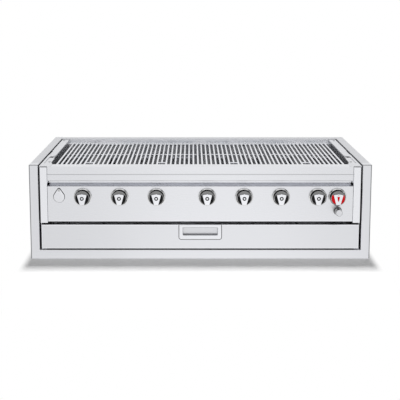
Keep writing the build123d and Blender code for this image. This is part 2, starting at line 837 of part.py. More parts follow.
# Bezels: a sloping ring on the panel around every knob, and a straight collar around the igniter's button
bezel_slope_width = 2.5
bezel_height = 9.0
button_radius = 14.0
collar_height = 13.0
bezel_ridge = bezel_inner + bezel_slope_width
collar_inner = button_radius + face_gap

with BuildPart() as control_bezels:
    for x in control_places:
        with BuildSketch(Plane.YZ.offset(x)):
            with BuildLine():
                Polyline(
                    (front, knob_height + bezel_inner),
                    (front, knob_height + bezel_outer),
                    (front - bezel_height, knob_height + bezel_ridge),
                    close=True,
                )
            make_face()
        revolve(axis=Axis((x, front, knob_height), (0, 1, 0)))
    with BuildSketch(facing(0)):
        with Locations((igniter_x, igniter_height)):
            Circle(collar_outer)
            Circle(collar_inner, mode=Mode.SUBTRACT)
    extrude(amount=collar_height)
save(control_bezels, "control_bezels")

# Igniter: a sprung button, and a spark module behind the panel
button_start = 8.0
button_edge = 1.5
plunger_radius = 4.0
plunger_end = 16.0
plunger_bore_end = 22.0
module_width = 26.0
module_end = 38.0
neck_reach = 3.0

with BuildPart() as igniter_button:
    with BuildSketch(facing(-button_start)):
        with Locations((igniter_x, igniter_height)):
            Circle(button_radius)
    extrude(amount=igniter_reach - button_start)
    chamfer(igniter_button.edges().group_by(Axis.Y)[0], button_edge)
    with BuildSketch(facing(-button_start)):
        with Locations((igniter_x, igniter_height)):
            Circle(plunger_radius)
    extrude(amount=-(plunger_end + button_start))
save(igniter_button, "igniter_button")

with BuildPart() as igniter_module:
    with BuildSketch(facing(sheet)):
        with Locations((igniter_x, igniter_height)):
            Rectangle(module_width, module_width)
    extrude(amount=-(module_end - sheet))
    with BuildSketch(facing(sheet)):
        with Locations((igniter_x, igniter_height)):
            Circle(igniter_neck)
    extrude(amount=sheet + neck_reach)
    with BuildSketch(facing(-neck_reach)):
        with Locations((igniter_x, igniter_height)):
            Circle(plunger_radius + running_gap)
    extrude(amount=-(plunger_bore_end + neck_reach), mode=Mode.SUBTRACT)
save(igniter_module, "igniter_module")

# Igniter: the electrode, a ceramic sleeve in the firebox's front sheet with a wire in it
ceramic_start = 96.0
ceramic_end = 122.0
wire_width = 1.6
wire_end = 132.0

with BuildPart() as igniter_electrode:
    with BuildSketch(facing(ceramic_start)):
        with Locations((electrode_x, electrode_height)):
            Circle(electrode_radius)
    extrude(amount=-(ceramic_end - ceramic_start))
    with BuildSketch(facing(ceramic_end)):
        with Locations((electrode_x, electrode_height)):
            Rectangle(wire_width, wire_width)
    extrude(amount=-(wire_end - ceramic_end))
save(igniter_electrode, "igniter_electrode")

# Lighting port: a teardrop cover that swings on a rivet above it
cover_radius = 21.5
cover_apex_radius = 6.0
cover_gap = face_gap
pivot_height = knob_height + cover_pivot_rise

with BuildPart() as lighting_port_cover:
    with BuildSketch(facing(-cover_gap)):
        with BuildSketch(mode=Mode.PRIVATE) as two_discs:
            with Locations((port_x, knob_height)):
                Circle(cover_radius)
            with Locations((port_x, pivot_height)):
                Circle(cover_apex_radius)
        make_hull(two_discs.edges())
        with Locations((port_x, pivot_height)):
            Circle(rivet_radius + running_gap, mode=Mode.SUBTRACT)
    extrude(amount=sheet)
save(lighting_port_cover, "lighting_port_cover")

# Fasteners: the screws that hold the top plates down, and the rivet that carries the port's cover
screw_head = 4.5
screw_head_height = 2.0
screw_length = 12.0
rivet_head = 4.5
rivet_rise = 2.0
screw_spots = [plate_point(hand, spot) for hand in (-1, 1) for spot in (front_screw, rear_screw)]

with BuildPart() as fasteners:
    with BuildSketch(Plane.XY.offset(head_top)):
        with Locations(*screw_spots):
            RegularPolygon(screw_head, 6)
    extrude(amount=screw_head_height)
    with BuildSketch(Plane.XY.offset(head_top)):
        with Locations(*screw_spots):
            Circle(screw_hole)
    extrude(amount=-screw_length)
    with BuildSketch(facing(sheet)):
        with Locations((port_x, pivot_height)):
            Circle(rivet_radius)
    extrude(amount=2 * (sheet + cover_gap))
    with BuildSketch(facing(-sheet - 2 * cover_gap)):
        with Locations((port_x, pivot_height)):
            Circle(rivet_head)
    extrude(amount=rivet_rise)
save(fasteners, "fasteners")

# Grates: four sections of rods on three cross bars, each with a slot for a lifting tool
grate_side_gap = 19.2
section_gap = 17.4
grate_back_overlap = 11.0
rod_count = 16
rods_before_slot_count = 7
cross_bar_margin = 15.0
cross_bar_width = 5.0
cross_bar_height = 6.0
slot_bar_depth = 102.0
slot_bar_width = 4.0
slot_bar_drop = 1.0
slot_bar_height = 7.0
section_count = 4
section_pitch = 2 * (firebox_half - grate_side_gap) / section_count
rod_pitch = (section_pitch - section_gap) / (rod_count - 1)
grate_back = ledge_inner_back + grate_back_overlap
grate_length = grate_back - grate_front
front_bar = grate_front + cross_bar_margin
rear_bar = grate_back - cross_bar_margin
cross_bar_depths = (front_bar, (front_bar + rear_bar) / 2, rear_bar)
rod_under = grate_top - rod_across

for place in range(1, section_count + 1):
    section_x = section_pitch * (place - (section_count + 1) / 2)
    rod_places = [section_x + rod_pitch * (i - (rod_count + 1) / 2) for i in range(1, rod_count + 1)]
    short_x = rod_places[rods_before_slot_count]
    with BuildPart() as grate:
        with BuildSketch(facing(grate_front)):
            with Locations(*[(x, grate_top - rod_across / 2) for x in rod_places if x != short_x]):
                RegularPolygon(rod_across / 2, rod_sides, major_radius=False, rotation=rod_turn)
        extrude(amount=-grate_length)
        with BuildSketch(facing(slot_bar_depth)):
            with Locations((short_x, grate_top - rod_across / 2)):
                RegularPolygon(rod_across / 2, rod_sides, major_radius=False, rotation=rod_turn)
        extrude(amount=-(grate_front + grate_length - slot_bar_depth))
        with BuildSketch(Plane.XY.offset(rod_under)):
            with Locations(*[(section_x, front + depth) for depth in cross_bar_depths]):
                Rectangle((rod_count - 1) * rod_pitch + rod_across / 2, cross_bar_width)
        extrude(amount=-cross_bar_height)
        with BuildSketch(Plane.XY.offset(grate_top - slot_bar_drop)):
            with Locations((short_x, front + slot_bar_depth)):
                Rectangle(2 * rod_pitch, slot_bar_width)
        extrude(amount=-slot_bar_height)
    save(grate, f"grate_{place}")

# Drawer: the folded front, with a cut-out for the pull
drawer_side_gap = 9.0
drawer_thickness = 18.0
pull_half = 71.0
pull_bottom_share = 0.552
pull_top_share = 0.895
drawer_half = bay_half - drawer_side_gap
pull_bottom = drawer_bottom + pull_bottom_share * drawer_height
pull_top = drawer_bottom + pull_top_share * drawer_height

with BuildPart() as drawer_front:
    with BuildSketch(facing(0)):
        with Locations((0, drawer_bottom + drawer_height / 2)):
            Rectangle(2 * drawer_half, drawer_height)
    extrude(amount=-drawer_thickness)
    fillet(drawer_front.faces().sort_by(Axis.Y)[0].edges(), bend)
    with BuildSketch(facing(drawer_thickness)):
        with Locations((0, drawer_bottom + drawer_height / 2)):
            Rectangle(2 * (drawer_half - sheet), drawer_height - 2 * sheet)
    extrude(amount=drawer_thickness - sheet, mode=Mode.SUBTRACT)
    with BuildSketch(facing(0)):
        with Locations((0, (pull_bottom + pull_top) / 2)):
            Rectangle(2 * pull_half, pull_top - pull_bottom)
    extrude(amount=-sheet, mode=Mode.SUBTRACT)
save(drawer_front, "drawer_front")

# Drawer: the drip tray, a front plate and a tapered pan with a rim and a flange at each side
tray_skin = 1.2
tray_foot_gap = 4.5
tray_rim_drop = 19.5
tray_back_gap = 36.0
tray_side_gap = 50.0
tray_draft_angle = 5
tray_plate_drop = 3.5
flange_width = 45.0
tray_bottom = drawer_bottom + tray_foot_gap
tray_rim = drawer_top - tray_rim_drop
tray_plate_top = drawer_top - tray_plate_drop
tray_back = head_length - tray_back_gap
tray_half = head_half - tray_side_gap
tray_rise = tray_rim - tray_bottom
tray_start = drawer_thickness + tray_skin
rim_spread = tray_rise * tan(radians(tray_draft_angle))
pan_front = tray_start + rim_spread
pan_back = tray_back - rim_spread

with BuildPart() as drip_tray:
    with BuildSketch(Plane.XY.offset(tray_bottom)):
        with Locations((0, front + (pan_front + pan_back) / 2)):
            Rectangle(2 * (tray_half - rim_spread), pan_back - pan_front)
    extrude(amount=tray_rise, taper=-tray_draft_angle)
    with BuildSketch(Plane.XY.offset(tray_rim)):
        with Locations((0, front + (tray_start + tray_back) / 2)):
            Rectangle(2 * (tray_half + flange_width), tray_back - tray_start)
    extrude(amount=-tray_skin)
    with BuildSketch(Plane.XY.offset(tray_bottom + tray_skin)):
        with Locations((0, front + (pan_front + pan_back) / 2)):
            Rectangle(2 * (tray_half - rim_spread - tray_skin), pan_back - pan_front - 2 * tray_skin)
    extrude(amount=tray_rise, taper=-tray_draft_angle, mode=Mode.SUBTRACT)
    with BuildSketch(facing(drawer_thickness)):
        with Locations((0, (drawer_bottom + tray_plate_top) / 2)):
            Rectangle(2 * drawer_half, tray_plate_top - drawer_bottom)
    extrude(amount=-tray_skin)
save(drip_tray, "drip_tray")

# Drawer: the pull, a plate on the drawer's face with a pocket that opens upwards behind its lip
pull_plate_half = 85.0
pull_plate_share = 0.6
pull_plate_corner = 8.0
pocket_depth = 16.0
pocket_brow = 4.0
pocket_slope_foot_share = 0.705
pocket_floor_share = 0.485
pocket_front = 3.0
pull_skin = 1.2
pull_plate_height = pull_plate_share * drawer_height
pocket_slope_foot = drawer_bottom + pocket_slope_foot_share * drawer_height
pocket_floor = drawer_bottom + pocket_floor_share * drawer_height
pull_middle = drawer_top - pull_plate_height / 2

with BuildPart() as drawer_handle:
    with BuildSketch(facing(0)):
        with Locations((0, pull_middle)):
            Rectangle(2 * pull_plate_half, pull_plate_height)
    extrude(amount=sheet)
    fillet(drawer_handle.edges().filter_by(Axis.Y).group_by(Axis.Z)[0], pull_plate_corner)
    pocket_outline = (
        (front, pull_top),
        (front + pocket_brow, pull_top),
        (front + pocket_depth, pocket_slope_foot),
        (front + pocket_depth, pocket_floor),
        (front + pocket_front, pocket_floor),
        (front + pocket_front, pull_bottom),
        (front, pull_bottom),
    )
    with BuildSketch(Plane.YZ.offset(-pull_half)):
        with BuildLine():
            Polyline(*pocket_outline, close=True)
        make_face()
    extrude(amount=2 * pull_half)
    with BuildSketch(Plane.YZ.offset(pull_skin - pull_half)):
        with BuildLine():
            Polyline(
                (front - sheet, pull_top - pull_skin),
                (front + pocket_brow, pull_top - pull_skin),
                (front + pocket_depth - pull_skin, pocket_slope_foot - pull_skin),
                (front + pocket_depth - pull_skin, pocket_floor + pull_skin),
                (front + pocket_front, pocket_floor + pull_skin),
                (front + pocket_front, pull_bottom + pull_skin),
                (front - sheet, pull_bottom + pull_skin),
                close=True,
            )
        make_face()
    extrude(amount=2 * (pull_half - pull_skin), mode=Mode.SUBTRACT)
save(drawer_handle, "drawer_handle")

# Drawer: the runners, channels on the side panels that the flanges of the tray slide in
runner_reach = 33.0
runner_drop = 3.0
runner_height = 11.0
runner_start = 22.0
runner_inner = head_half - runner_reach
runner_bottom = tray_rim - runner_drop
runner_top = runner_bottom + runner_height

with BuildPart() as drawer_runners:
    for hand, side in ((-1, Side.RIGHT), (1, Side.LEFT)):
        runner_line = (
            (hand * runner_inner, runner_bottom),
            (hand * web_inner, runner_bottom),
            (hand * web_inner, runner_top),
            (hand * runner_inner, runner_top),
        )
        runner_section = folded(facing(runner_start), runner_line, side, radius=0)
        extrude(runner_section, amount=-(tray_back - runner_start))
save(drawer_runners, "drawer_runners")
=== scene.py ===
import bpy
import math
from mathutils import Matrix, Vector


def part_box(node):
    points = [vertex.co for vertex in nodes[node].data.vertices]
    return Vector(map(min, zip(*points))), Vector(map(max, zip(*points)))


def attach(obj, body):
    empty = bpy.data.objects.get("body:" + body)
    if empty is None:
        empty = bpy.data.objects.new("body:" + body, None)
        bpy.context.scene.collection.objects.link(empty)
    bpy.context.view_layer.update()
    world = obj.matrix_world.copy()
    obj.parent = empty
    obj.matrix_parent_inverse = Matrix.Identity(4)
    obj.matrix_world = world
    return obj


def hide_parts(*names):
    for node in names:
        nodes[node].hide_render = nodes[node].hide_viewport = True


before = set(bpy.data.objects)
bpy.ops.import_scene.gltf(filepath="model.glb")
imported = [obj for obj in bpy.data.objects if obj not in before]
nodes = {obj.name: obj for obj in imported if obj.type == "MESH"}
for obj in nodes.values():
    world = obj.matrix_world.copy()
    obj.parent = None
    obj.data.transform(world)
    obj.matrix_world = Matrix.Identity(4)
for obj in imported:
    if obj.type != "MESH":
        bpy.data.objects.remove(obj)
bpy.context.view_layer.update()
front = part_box("sleeve_front_frame")[0].y       # the plane of the whole front
print("packed model loaded")

# What the mesh edits share: distances in metres, angles in degrees, and how far a face is turned
# to a side when it counts as one that looks there
meshSettings = {
    "merge": 0.00001,
    "level": 0.0001,
    "flatAngle": 1,
    "sharpAngle": 35,
    "smoothAngle": 30,
    "facing": 0.9,
}


# One object alone, selected and active
def pick(piece):
    bpy.ops.object.select_all(action="DESELECT")
    piece.select_set(True)
    bpy.context.view_layer.objects.active = piece


# Puts the place of a new object into its mesh and gives it a name
def settle(piece, name):
    pick(piece)
    bpy.ops.object.transform_apply(location=True, rotation=True, scale=True)
    piece.name = name
    piece.data.name = name
    return piece


# Adds a modifier, sets it and applies it
def shape(piece, kind, **settings):
    pick(piece)
    modifier = piece.modifiers.new(kind.title(), kind)
    for key, value in settings.items():
        setattr(modifier, key, value)
    bpy.ops.object.modifier_apply(modifier=modifier.name)
    return piece


# Goes into edit mode with only the faces selected that pass the test
def grabFaces(piece, test):
    pick(piece)
    bpy.ops.object.mode_set(mode="EDIT")
    bpy.ops.mesh.select_mode(type="FACE")
    bpy.ops.mesh.select_all(action="DESELECT")
    bpy.ops.object.mode_set(mode="OBJECT")
    for face in piece.data.polygons:
        face.select = test(face)
    bpy.ops.object.mode_set(mode="EDIT")


# The same for edges; the test is given the two ends of each edge
def grabEdges(piece, test):
    pick(piece)
    bpy.ops.object.mode_set(mode="EDIT")
    bpy.ops.mesh.select_mode(type="EDGE")
    bpy.ops.mesh.select_all(action="DESELECT")
    bpy.ops.object.mode_set(mode="OBJECT")
    corners = piece.data.vertices
    for edge in piece.data.edges:
        edge.select = test(corners[edge.vertices[0]].co, corners[edge.vertices[1]].co)
    bpy.ops.object.mode_set(mode="EDIT")


# Goes into edit mode with everything selected
def grabAll(piece):
    pick(piece)
    bpy.ops.object.mode_set(mode="EDIT")
    bpy.ops.mesh.select_all(action="SELECT")


def leaveEdit(recalculate=False):
    if recalculate:
        bpy.ops.mesh.select_all(action="SELECT")
        bpy.ops.mesh.remove_doubles(threshold=meshSettings["merge"])
        bpy.ops.mesh.normals_make_consistent(inside=False)
    bpy.ops.object.mode_set(mode="OBJECT")


def smoothed(piece, angle=meshSettings["smoothAngle"]):
    pick(piece)
    bpy.ops.object.shade_smooth_by_angle(angle=math.radians(angle))
    return piece


# Bevels the sharp edges, then shades smooth
def soften(piece, width):
    shape(piece, "BEVEL", width=width, segments=2, limit_method="ANGLE",
          angle_limit=math.radians(meshSettings["sharpAngle"]))
    return smoothed(piece)


# A box by its low and high corner
def block(name, low, high):
    bpy.ops.object.select_all(action="DESELECT")
    middle = [(a + b) / 2 for a, b in zip(low, high)]
    bpy.ops.mesh.primitive_cube_add(size=1, location=middle)
    piece = bpy.context.active_object
    piece.scale = [b - a for a, b in zip(low, high)]
    return settle(piece, name)


# A disc that faces the front, pulled out ring by ring. Each ring is a pair in mm:
# its radius, and its reach in front of the front plane.
def turned(name, x, z, rings, steps, hollow=False):
    bpy.ops.object.select_all(action="DESELECT")
    radius, reach = (value / 1000 for value in rings[0])
    bpy.ops.mesh.primitive_circle_add(vertices=steps, radius=radius, fill_type="NGON",
                                      location=(x, front - reach, z),
                                      rotation=(math.pi / 2, 0, 0))
    piece = settle(bpy.context.active_object, name)
    grabAll(piece)
    for ring in rings[1:]:
        nextRadius, nextReach = (value / 1000 for value in ring)
        move = {"value": (0, reach - nextReach, 0)}
        bpy.ops.mesh.extrude_region_move(TRANSFORM_OT_translate=move)
        ratio = nextRadius / radius
        if ratio != 1:
            bpy.ops.transform.resize(value=(ratio, 1, ratio), center_override=(x, front, z))
        radius, reach = nextRadius, nextReach
    if hollow:                                  # the two end discs go, and their rims are bridged
        bpy.ops.object.mode_set(mode="OBJECT")
        grabFaces(piece, lambda face: len(face.vertices) == steps)
        bpy.ops.mesh.delete(type="FACE")
        bpy.ops.mesh.select_mode(type="EDGE")
        bpy.ops.mesh.select_non_manifold()
        bpy.ops.mesh.bridge_edge_loops()
    leaveEdit(recalculate=True)
    return piece


# Cuts one shape out of another and removes the cutter
def carve(piece, cutter):
    shape(piece, "BOOLEAN", object=cutter, operation="DIFFERENCE", solver="EXACT")
    bpy.data.objects.remove(cutter, do_unlink=True)
    return piece


# A copy with its own mesh, moved by an offset
def copied(piece, name, offset):
    twin = piece.copy()
    twin.data = piece.data.copy()
    bpy.context.scene.collection.objects.link(twin)
    twin.location = offset
    return settle(twin, name)


# Several objects made one
def joined(pieces, name):
    bpy.ops.object.select_all(action="DESELECT")
    for piece in pieces:
        piece.select_set(True)
    bpy.context.view_layer.objects.active = pieces[0]
    bpy.ops.object.join()
    whole = bpy.context.active_object
    whole.name = name
    whole.data.name = name
    return whole


def dress(piece, finish):
    piece.data.materials.clear()
    piece.data.materials.append(finish)
    return piece


# Gives the faces that pass the test a finish of their own
def trim(piece, finish, test):
    piece.data.materials.append(finish)
    place = len(piece.data.materials) - 1
    for face in piece.data.polygons:
        if test(face):
            face.material_index = place
    return piece


# Lets a piece stand for a node and move with its body
def standFor(piece, body, node):
    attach(piece, body)
    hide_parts(node)
    return piece


# The place of a control across the front, from its node's box
def axisOf(node):
    low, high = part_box(node)
    return (low.x + high.x) / 2, (low.z + high.z) / 2


# A socket with operators: a sum written in Python adds its Math nodes
class Wire:
    def __init__(self, web, socket):
        self.web = web
        self.socket = socket

    def maths(self, operation, first, second):
        return self.web.node("ShaderNodeMath", {"operation": operation}, {0: first, 1: second})

    def __add__(self, other):
        return self.maths("ADD", self, other)

    def __sub__(self, other):
        return self.maths("SUBTRACT", self, other)

    def __rsub__(self, other):
        return self.maths("SUBTRACT", other, self)

    def __mul__(self, other):
        return self.maths("MULTIPLY", self, other)

    # 0 at low, 1 at high, smooth from one to the other
    def between(self, low, high):
        return self.web.node("ShaderNodeMapRange", {"interpolation_type": "SMOOTHSTEP"},
                             {"Value": self, "From Min": low, "From Max": high})


# Adds nodes to a tree, each by its type, its settings, and the values or links of its sockets
class NodeWeb:
    def __init__(self, tree):
        self.tree = tree

    def node(self, kind, settings=None, values=None, output=0):
        made = self.tree.nodes.new(kind)
        for key, value in (settings or {}).items():
            if key == "stops":
                ramp = made.color_ramp
                while len(ramp.elements) < len(value):
                    ramp.elements.new(0.5)
                for element, (position, colour) in zip(ramp.elements, value):
                    element.position = position
                    element.color = colour
            else:
                setattr(made, key, value)
        for key, value in (values or {}).items():
            self.link(made.inputs[key], value)
        return Wire(self, made.outputs[output])

    def link(self, socket, value):
        if isinstance(value, Wire):
            self.tree.links.new(value.socket, socket)
        else:
            socket.default_value = value

    def mixColours(self, mask, first, second):
        return self.node("ShaderNodeMix", {"data_type": "RGBA"}, {0: mask, 6: first, 7: second}, 2)

    def mixShaders(self, mask, first, second):
        return self.node("ShaderNodeMixShader", {}, {0: mask, 1: first, 2: second})

    # X, Y or Z of a vector
    def part(self, vector, axis):
        return self.node("ShaderNodeSeparateXYZ", {}, {0: vector}, axis)

    def size(self, value):
        return self.node("ShaderNodeMath", {"operation": "ABSOLUTE"}, {0: value})


# A material that starts from the plain shader
class Finish(NodeWeb):
    def __init__(self, name, **constants):
        self.material = bpy.data.materials.new(name)
        self.material.use_nodes = True
        super().__init__(self.material.node_tree)
        self.shader = self.tree.nodes["Principled BSDF"]
        for key, value in constants.items():
            self.shader.inputs[key.replace("_", " ")].default_value = value
        self.place = self.node("ShaderNodeTexCoord", output="Object")

    def feed(self, key, value):
        self.link(self.shader.inputs[key], value)

    # Noise stretched by a scale on each axis, in units per metre
    def noise(self, scale, detail=3.0, roughness=0.55):
        stretched = self.node("ShaderNodeVectorMath", {"operation": "MULTIPLY"},
                              {0: self.place, 1: scale})
        return self.node("ShaderNodeTexNoise", {"noise_dimensions": "3D"},
                         {"Vector": stretched, "Scale": 1.0, "Detail": detail,
                          "Roughness": roughness})

    # The piece's own X, Y or Z, in metres
    def along(self, axis):
        return self.part(self.place, axis)

    def bump(self, height, strength, distance):
        self.feed("Normal", self.node("ShaderNodeBump", {},
                                      {"Strength": strength, "Distance": distance,
                                       "Height": height}))


# A neutral grey; a cool one leans to blue
def grey(level, cool=0.0):
    return (level * (1 - cool), level * (1 - cool * 0.8), level, 1.0)


# Brushed sheet: fine lines along one axis, and soft clouds across them
sheetSettings = {
    "lineScale": 2600.0,
    "alongScale": 9.0,
    "lineDetail": 2.0,
    "lineRoughness": 0.6,
    "lineStrength": 0.015,
    "lineDepth": 0.0004,
    "cloudScale": 4.0,
    "cool": 0.045,
    "roughSpread": 0.06,
    "markEdge": 0.0012,
}


# Marks are (axis, low, high, shade, reach): another shade between two places on an axis, with
# soft ends. A reach keeps the mark on the front few millimetres.
def brushedSheet(name, grain, level, rough, cloud=0.05, lines=0.1, span=0.2, marks=()):
    finish = Finish(name, Metallic=1.0)
    scales = [sheetSettings["lineScale"]] * 3
    scales["xyz".index(grain)] = sheetSettings["alongScale"]
    brush = finish.noise(scales, sheetSettings["lineDetail"], sheetSettings["lineRoughness"])
    wear = finish.noise([sheetSettings["cloudScale"]] * 3)
    mask = (brush - 0.5) * lines * 2 + (wear - 0.5) * cloud * 2 + 0.5
    cool = sheetSettings["cool"]
    colour = finish.mixColours(mask, grey(level - span, cool), grey(min(level + span, 1), cool))
    soft = sheetSettings["markEdge"]
    for axis, low, high, shade, *reach in marks:
        place = finish.along(axis)
        amount = place.between(low - soft, low) * (1 - place.between(high, high + soft))
        for depth in reach:
            behind = finish.along("Y").between(front + depth, front + depth + soft)
            amount = amount * (1 - behind)
        colour = finish.mixColours(amount, colour, grey(shade, cool))
    finish.feed("Base Color", colour)
    spread = sheetSettings["roughSpread"]
    finish.feed("Roughness", (brush - 0.5) * spread * 2 + (wear - 0.5) * spread + rough)
    finish.bump(brush, sheetSettings["lineStrength"], sheetSettings["lineDepth"])
    return finish.material


# Marks on the folded fronts: widths and places in metres, and shades. All but the rail's seam line
# are painted light: painted highlights, painted dark reflections and a painted shadow under the
# rail
markSettings = {
    "past": 0.01,                               # a mark at an edge runs out past it
    "frameSide": 0.0034,
    "frameSideShade": 0.3,
    "frameTop": 0.0026,
    "frameTopShade": 0.35,
    "frameReach": 0.001,
    "drawerRim": 0.003,
    "drawerShade": 0.98,
    "controlFoot": 0.005,
    "controlFootShade": 0.98,
    "ledgeStart": 0.003,
    "ledgeShade": 0.96,
    "seamDrop": 0.0346,
    "seamHalf": 0.0008,
    "seamShade": 0.52,
    "railFoot": 0.0024,
    "railFootShade": 0.62,
    "postSide": 0.002,
    "postShade": 0.1,
    "postReach": 0.004,
}
past = markSettings["past"]


# A mark along the low or the high edge of a box on one axis
def lowMark(axis, edge, width, shade, *reach):
    return (axis, edge - past, edge + width, shade, *reach)


def highMark(axis, edge, width, shade, *reach):
    return (axis, edge - width, edge + past, shade, *reach)


# The rims of a folded front catch the light for a few millimetres
def rims(node, width, shade):
    low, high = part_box(node)
    return [lowMark("X", low.x, width, shade), highMark("X", high.x, width, shade),
            lowMark("Z", low.z, width, shade), highMark("Z", high.z, width, shade)]


frameLow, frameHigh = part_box("sleeve_front_frame")
railLow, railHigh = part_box("front_rail")
panelLow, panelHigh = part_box("control_panel")
leftLow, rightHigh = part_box("left_side_panel")[0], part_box("right_side_panel")[1]
frameSide = (markSettings["frameSide"], markSettings["frameSideShade"], markSettings["frameReach"])
frameTop = (markSettings["frameTop"], markSettings["frameTopShade"], markSettings["frameReach"])
# Painted dark reflection: a dark outline along the frame's outer sides and top, on its front only
frameMarks = [lowMark("X", frameLow.x, *frameSide), highMark("X", frameHigh.x, *frameSide),
              highMark("Z", frameHigh.z, *frameTop)]
# Painted highlights: a lighter bottom fold on the control panel, and a lighter ledge that stands
# for the bright rail mirrored in it
controlMarks = [lowMark("Z", panelLow.z, markSettings["controlFoot"],
                        markSettings["controlFootShade"]),
                ("Y", panelLow.y + markSettings["ledgeStart"], panelHigh.y + past,
                 markSettings["ledgeShade"])]
seamHeight = railHigh.z - markSettings["seamDrop"]
# The seam line is a dark joint between the rail's two bands. The rail's foot gets painted shadow,
# a dark line where the rail overhangs the ledge
railMarks = [("Z", seamHeight - markSettings["seamHalf"], seamHeight + markSettings["seamHalf"],
              markSettings["seamShade"]),
             lowMark("Z", railLow.z, markSettings["railFoot"], markSettings["railFootShade"])]
# Painted shade: dark outer edges on the posts' fronts, which widen the dark gap beside them
postSide = (markSettings["postSide"], markSettings["postShade"], markSettings["postReach"])
postMarks = [lowMark("X", leftLow.x, *postSide), highMark("X", rightHigh.x, *postSide)]
# Painted highlights: lighter rims on the drawer front
drawerMarks = rims("drawer_front", markSettings["drawerRim"], markSettings["drawerShade"])

frameSheet = brushedSheet("frameSheet", "x", level=0.86, rough=0.34, span=0.14, marks=frameMarks)
sleeveSheet = brushedSheet("sleeveSheet", "x", level=0.72, rough=0.34)
sleeveSideSheet = brushedSheet("sleeveSideSheet", "z", level=0.72, rough=0.34)
drawerSheet = brushedSheet("drawerSheet", "x", level=0.84, rough=0.3, span=0.14, marks=drawerMarks)
controlSheet = brushedSheet("controlSheet", "x", level=0.87, rough=0.28, span=0.12,
                            marks=controlMarks)
railSheet = brushedSheet("railSheet", "x", level=0.87, rough=0.28, span=0.12, marks=railMarks)
rearSheet = brushedSheet("rearSheet", "x", level=0.96, rough=0.5, span=0.04)
postSheet = brushedSheet("postSheet", "z", level=0.96, rough=0.24, span=0.04, marks=postMarks)
plateSheet = brushedSheet("plateSheet", "y", level=0.82, rough=0.34, span=0.14)
coverSheet = brushedSheet("coverSheet", "z", level=0.9, rough=0.26, span=0.08)
pullSheet = brushedSheet("pullSheet", "x", level=0.9, rough=0.26, span=0.08)
pocketSheet = brushedSheet("pocketSheet", "x", level=0.76, rough=0.34)
# The drip tray's sheet, also the painted shade on the drawer pull's pocket
trayAndShadeSheet = brushedSheet("trayAndShadeSheet", "x", level=0.66, rough=0.36, cloud=0.1)
rodSteel = brushedSheet("rodSteel", "y", level=0.96, rough=0.26, cloud=0.06, span=0.06)
gripSteel = brushedSheet("gripSteel", "x", level=0.96, rough=0.2, lines=0.05, span=0.03)
buttonSteel = brushedSheet("buttonSteel", "x", level=0.8, rough=0.26, lines=0.05, span=0.06)

# Chrome: a mirror with faint hazing
chromeSettings = {"hazeScale": 60, "hazeDetail": 4.0, "hazeSpan": 0.04, "hazeRough": 0.05}


def chrome(name, level=0.85, rough=0.05):
    finish = Finish(name, Metallic=1.0)
    haze = finish.noise([chromeSettings["hazeScale"]] * 3, chromeSettings["hazeDetail"])
    span = chromeSettings["hazeSpan"]
    finish.feed("Base Color", finish.mixColours(haze, grey(level - span), grey(level + span)))
    finish.feed("Roughness", haze * chromeSettings["hazeRough"] + rough)
    return finish.material


bezelChrome = chrome("bezelChrome")
skirtChrome = chrome("skirtChrome", level=0.34, rough=0.07)
igniterChrome = chrome("igniterChrome", level=0.28)
bandGrey = chrome("bandGrey", level=0.24, rough=0.2)
screwSteel = chrome("screwSteel", level=0.55, rough=0.2)

# Glossy enamel or moulded plastic, with fine dust in its roughness
enamelSettings = {
    "speckScale": 400,
    "speckDetail": 5.0,
    "cloudScale": 35,
    "cloudGain": 1.2,
    "cloudLift": 0.002,
    "dust": 0.06,
    "grainStrength": 0.03,
    "grainDepth": 0.0002,
}


def enamel(name, colour, rough, coat=0.0, gloss=0.5):
    values = enamelSettings
    finish = Finish(name, Coat_Weight=coat, Specular_IOR_Level=gloss)
    speck = finish.noise([values["speckScale"]] * 3, values["speckDetail"])
    cloud = finish.noise([values["cloudScale"]] * 3)
    lighter = tuple(min(1.0, part * values["cloudGain"] + values["cloudLift"]) for part in colour)
    finish.feed("Base Color", finish.mixColours(cloud, colour + (1.0,), lighter + (1.0,)))
    dust = values["dust"]
    finish.feed("Roughness", (speck - 0.5) * dust + (cloud - 0.5) * dust + rough)
    finish.bump(speck, values["grainStrength"], values["grainDepth"])
    return finish.material


knobBlack = enamel("knobBlack", (0.004, 0.004, 0.005), rough=0.34, gloss=0.15)
bezelBlack = enamel("bezelBlack", (0.004, 0.004, 0.005), rough=0.25, gloss=0.15)
knobRed = enamel("knobRed", (0.95, 0.001, 0.006), rough=0.32, gloss=0.12)
ringGrey = enamel("ringGrey", (0.02, 0.021, 0.023), rough=0.4, gloss=0.2)
# Painted shadow: black sheets round the port cover and round the drawer pull
shadowBlack = enamel("shadowBlack", (0.03, 0.03, 0.032), rough=0.55)
modulePlastic = enamel("modulePlastic", (0.03, 0.03, 0.03), rough=0.5)
ceramicWhite = enamel("ceramicWhite", (0.85, 0.82, 0.74), rough=0.25, coat=0.3)
manifoldPaint = enamel("manifoldPaint", (0.05, 0.05, 0.052), rough=0.45)

# Sheet that has been hot: faint blue tints in clouds, dull. The tints are shares of its level.
heatSettings = {
    "cloudScale": [9, 9, 14],
    "cloudDetail": 5.0,
    "cloudRoughness": 0.65,
    "tints": [(0.2, (0.57, 0.59, 0.64)), (0.45, (0.94, 0.96, 1)), (0.62, (1.07, 1.07, 1.1)),
              (0.8, (0.64, 0.66, 0.71))],
    "fineScale": [700, 30, 700],
    "fineRough": 0.14,
    "cloudRough": 0.2,
    "fineStrength": 0.06,
    "fineDepth": 0.0003,
}


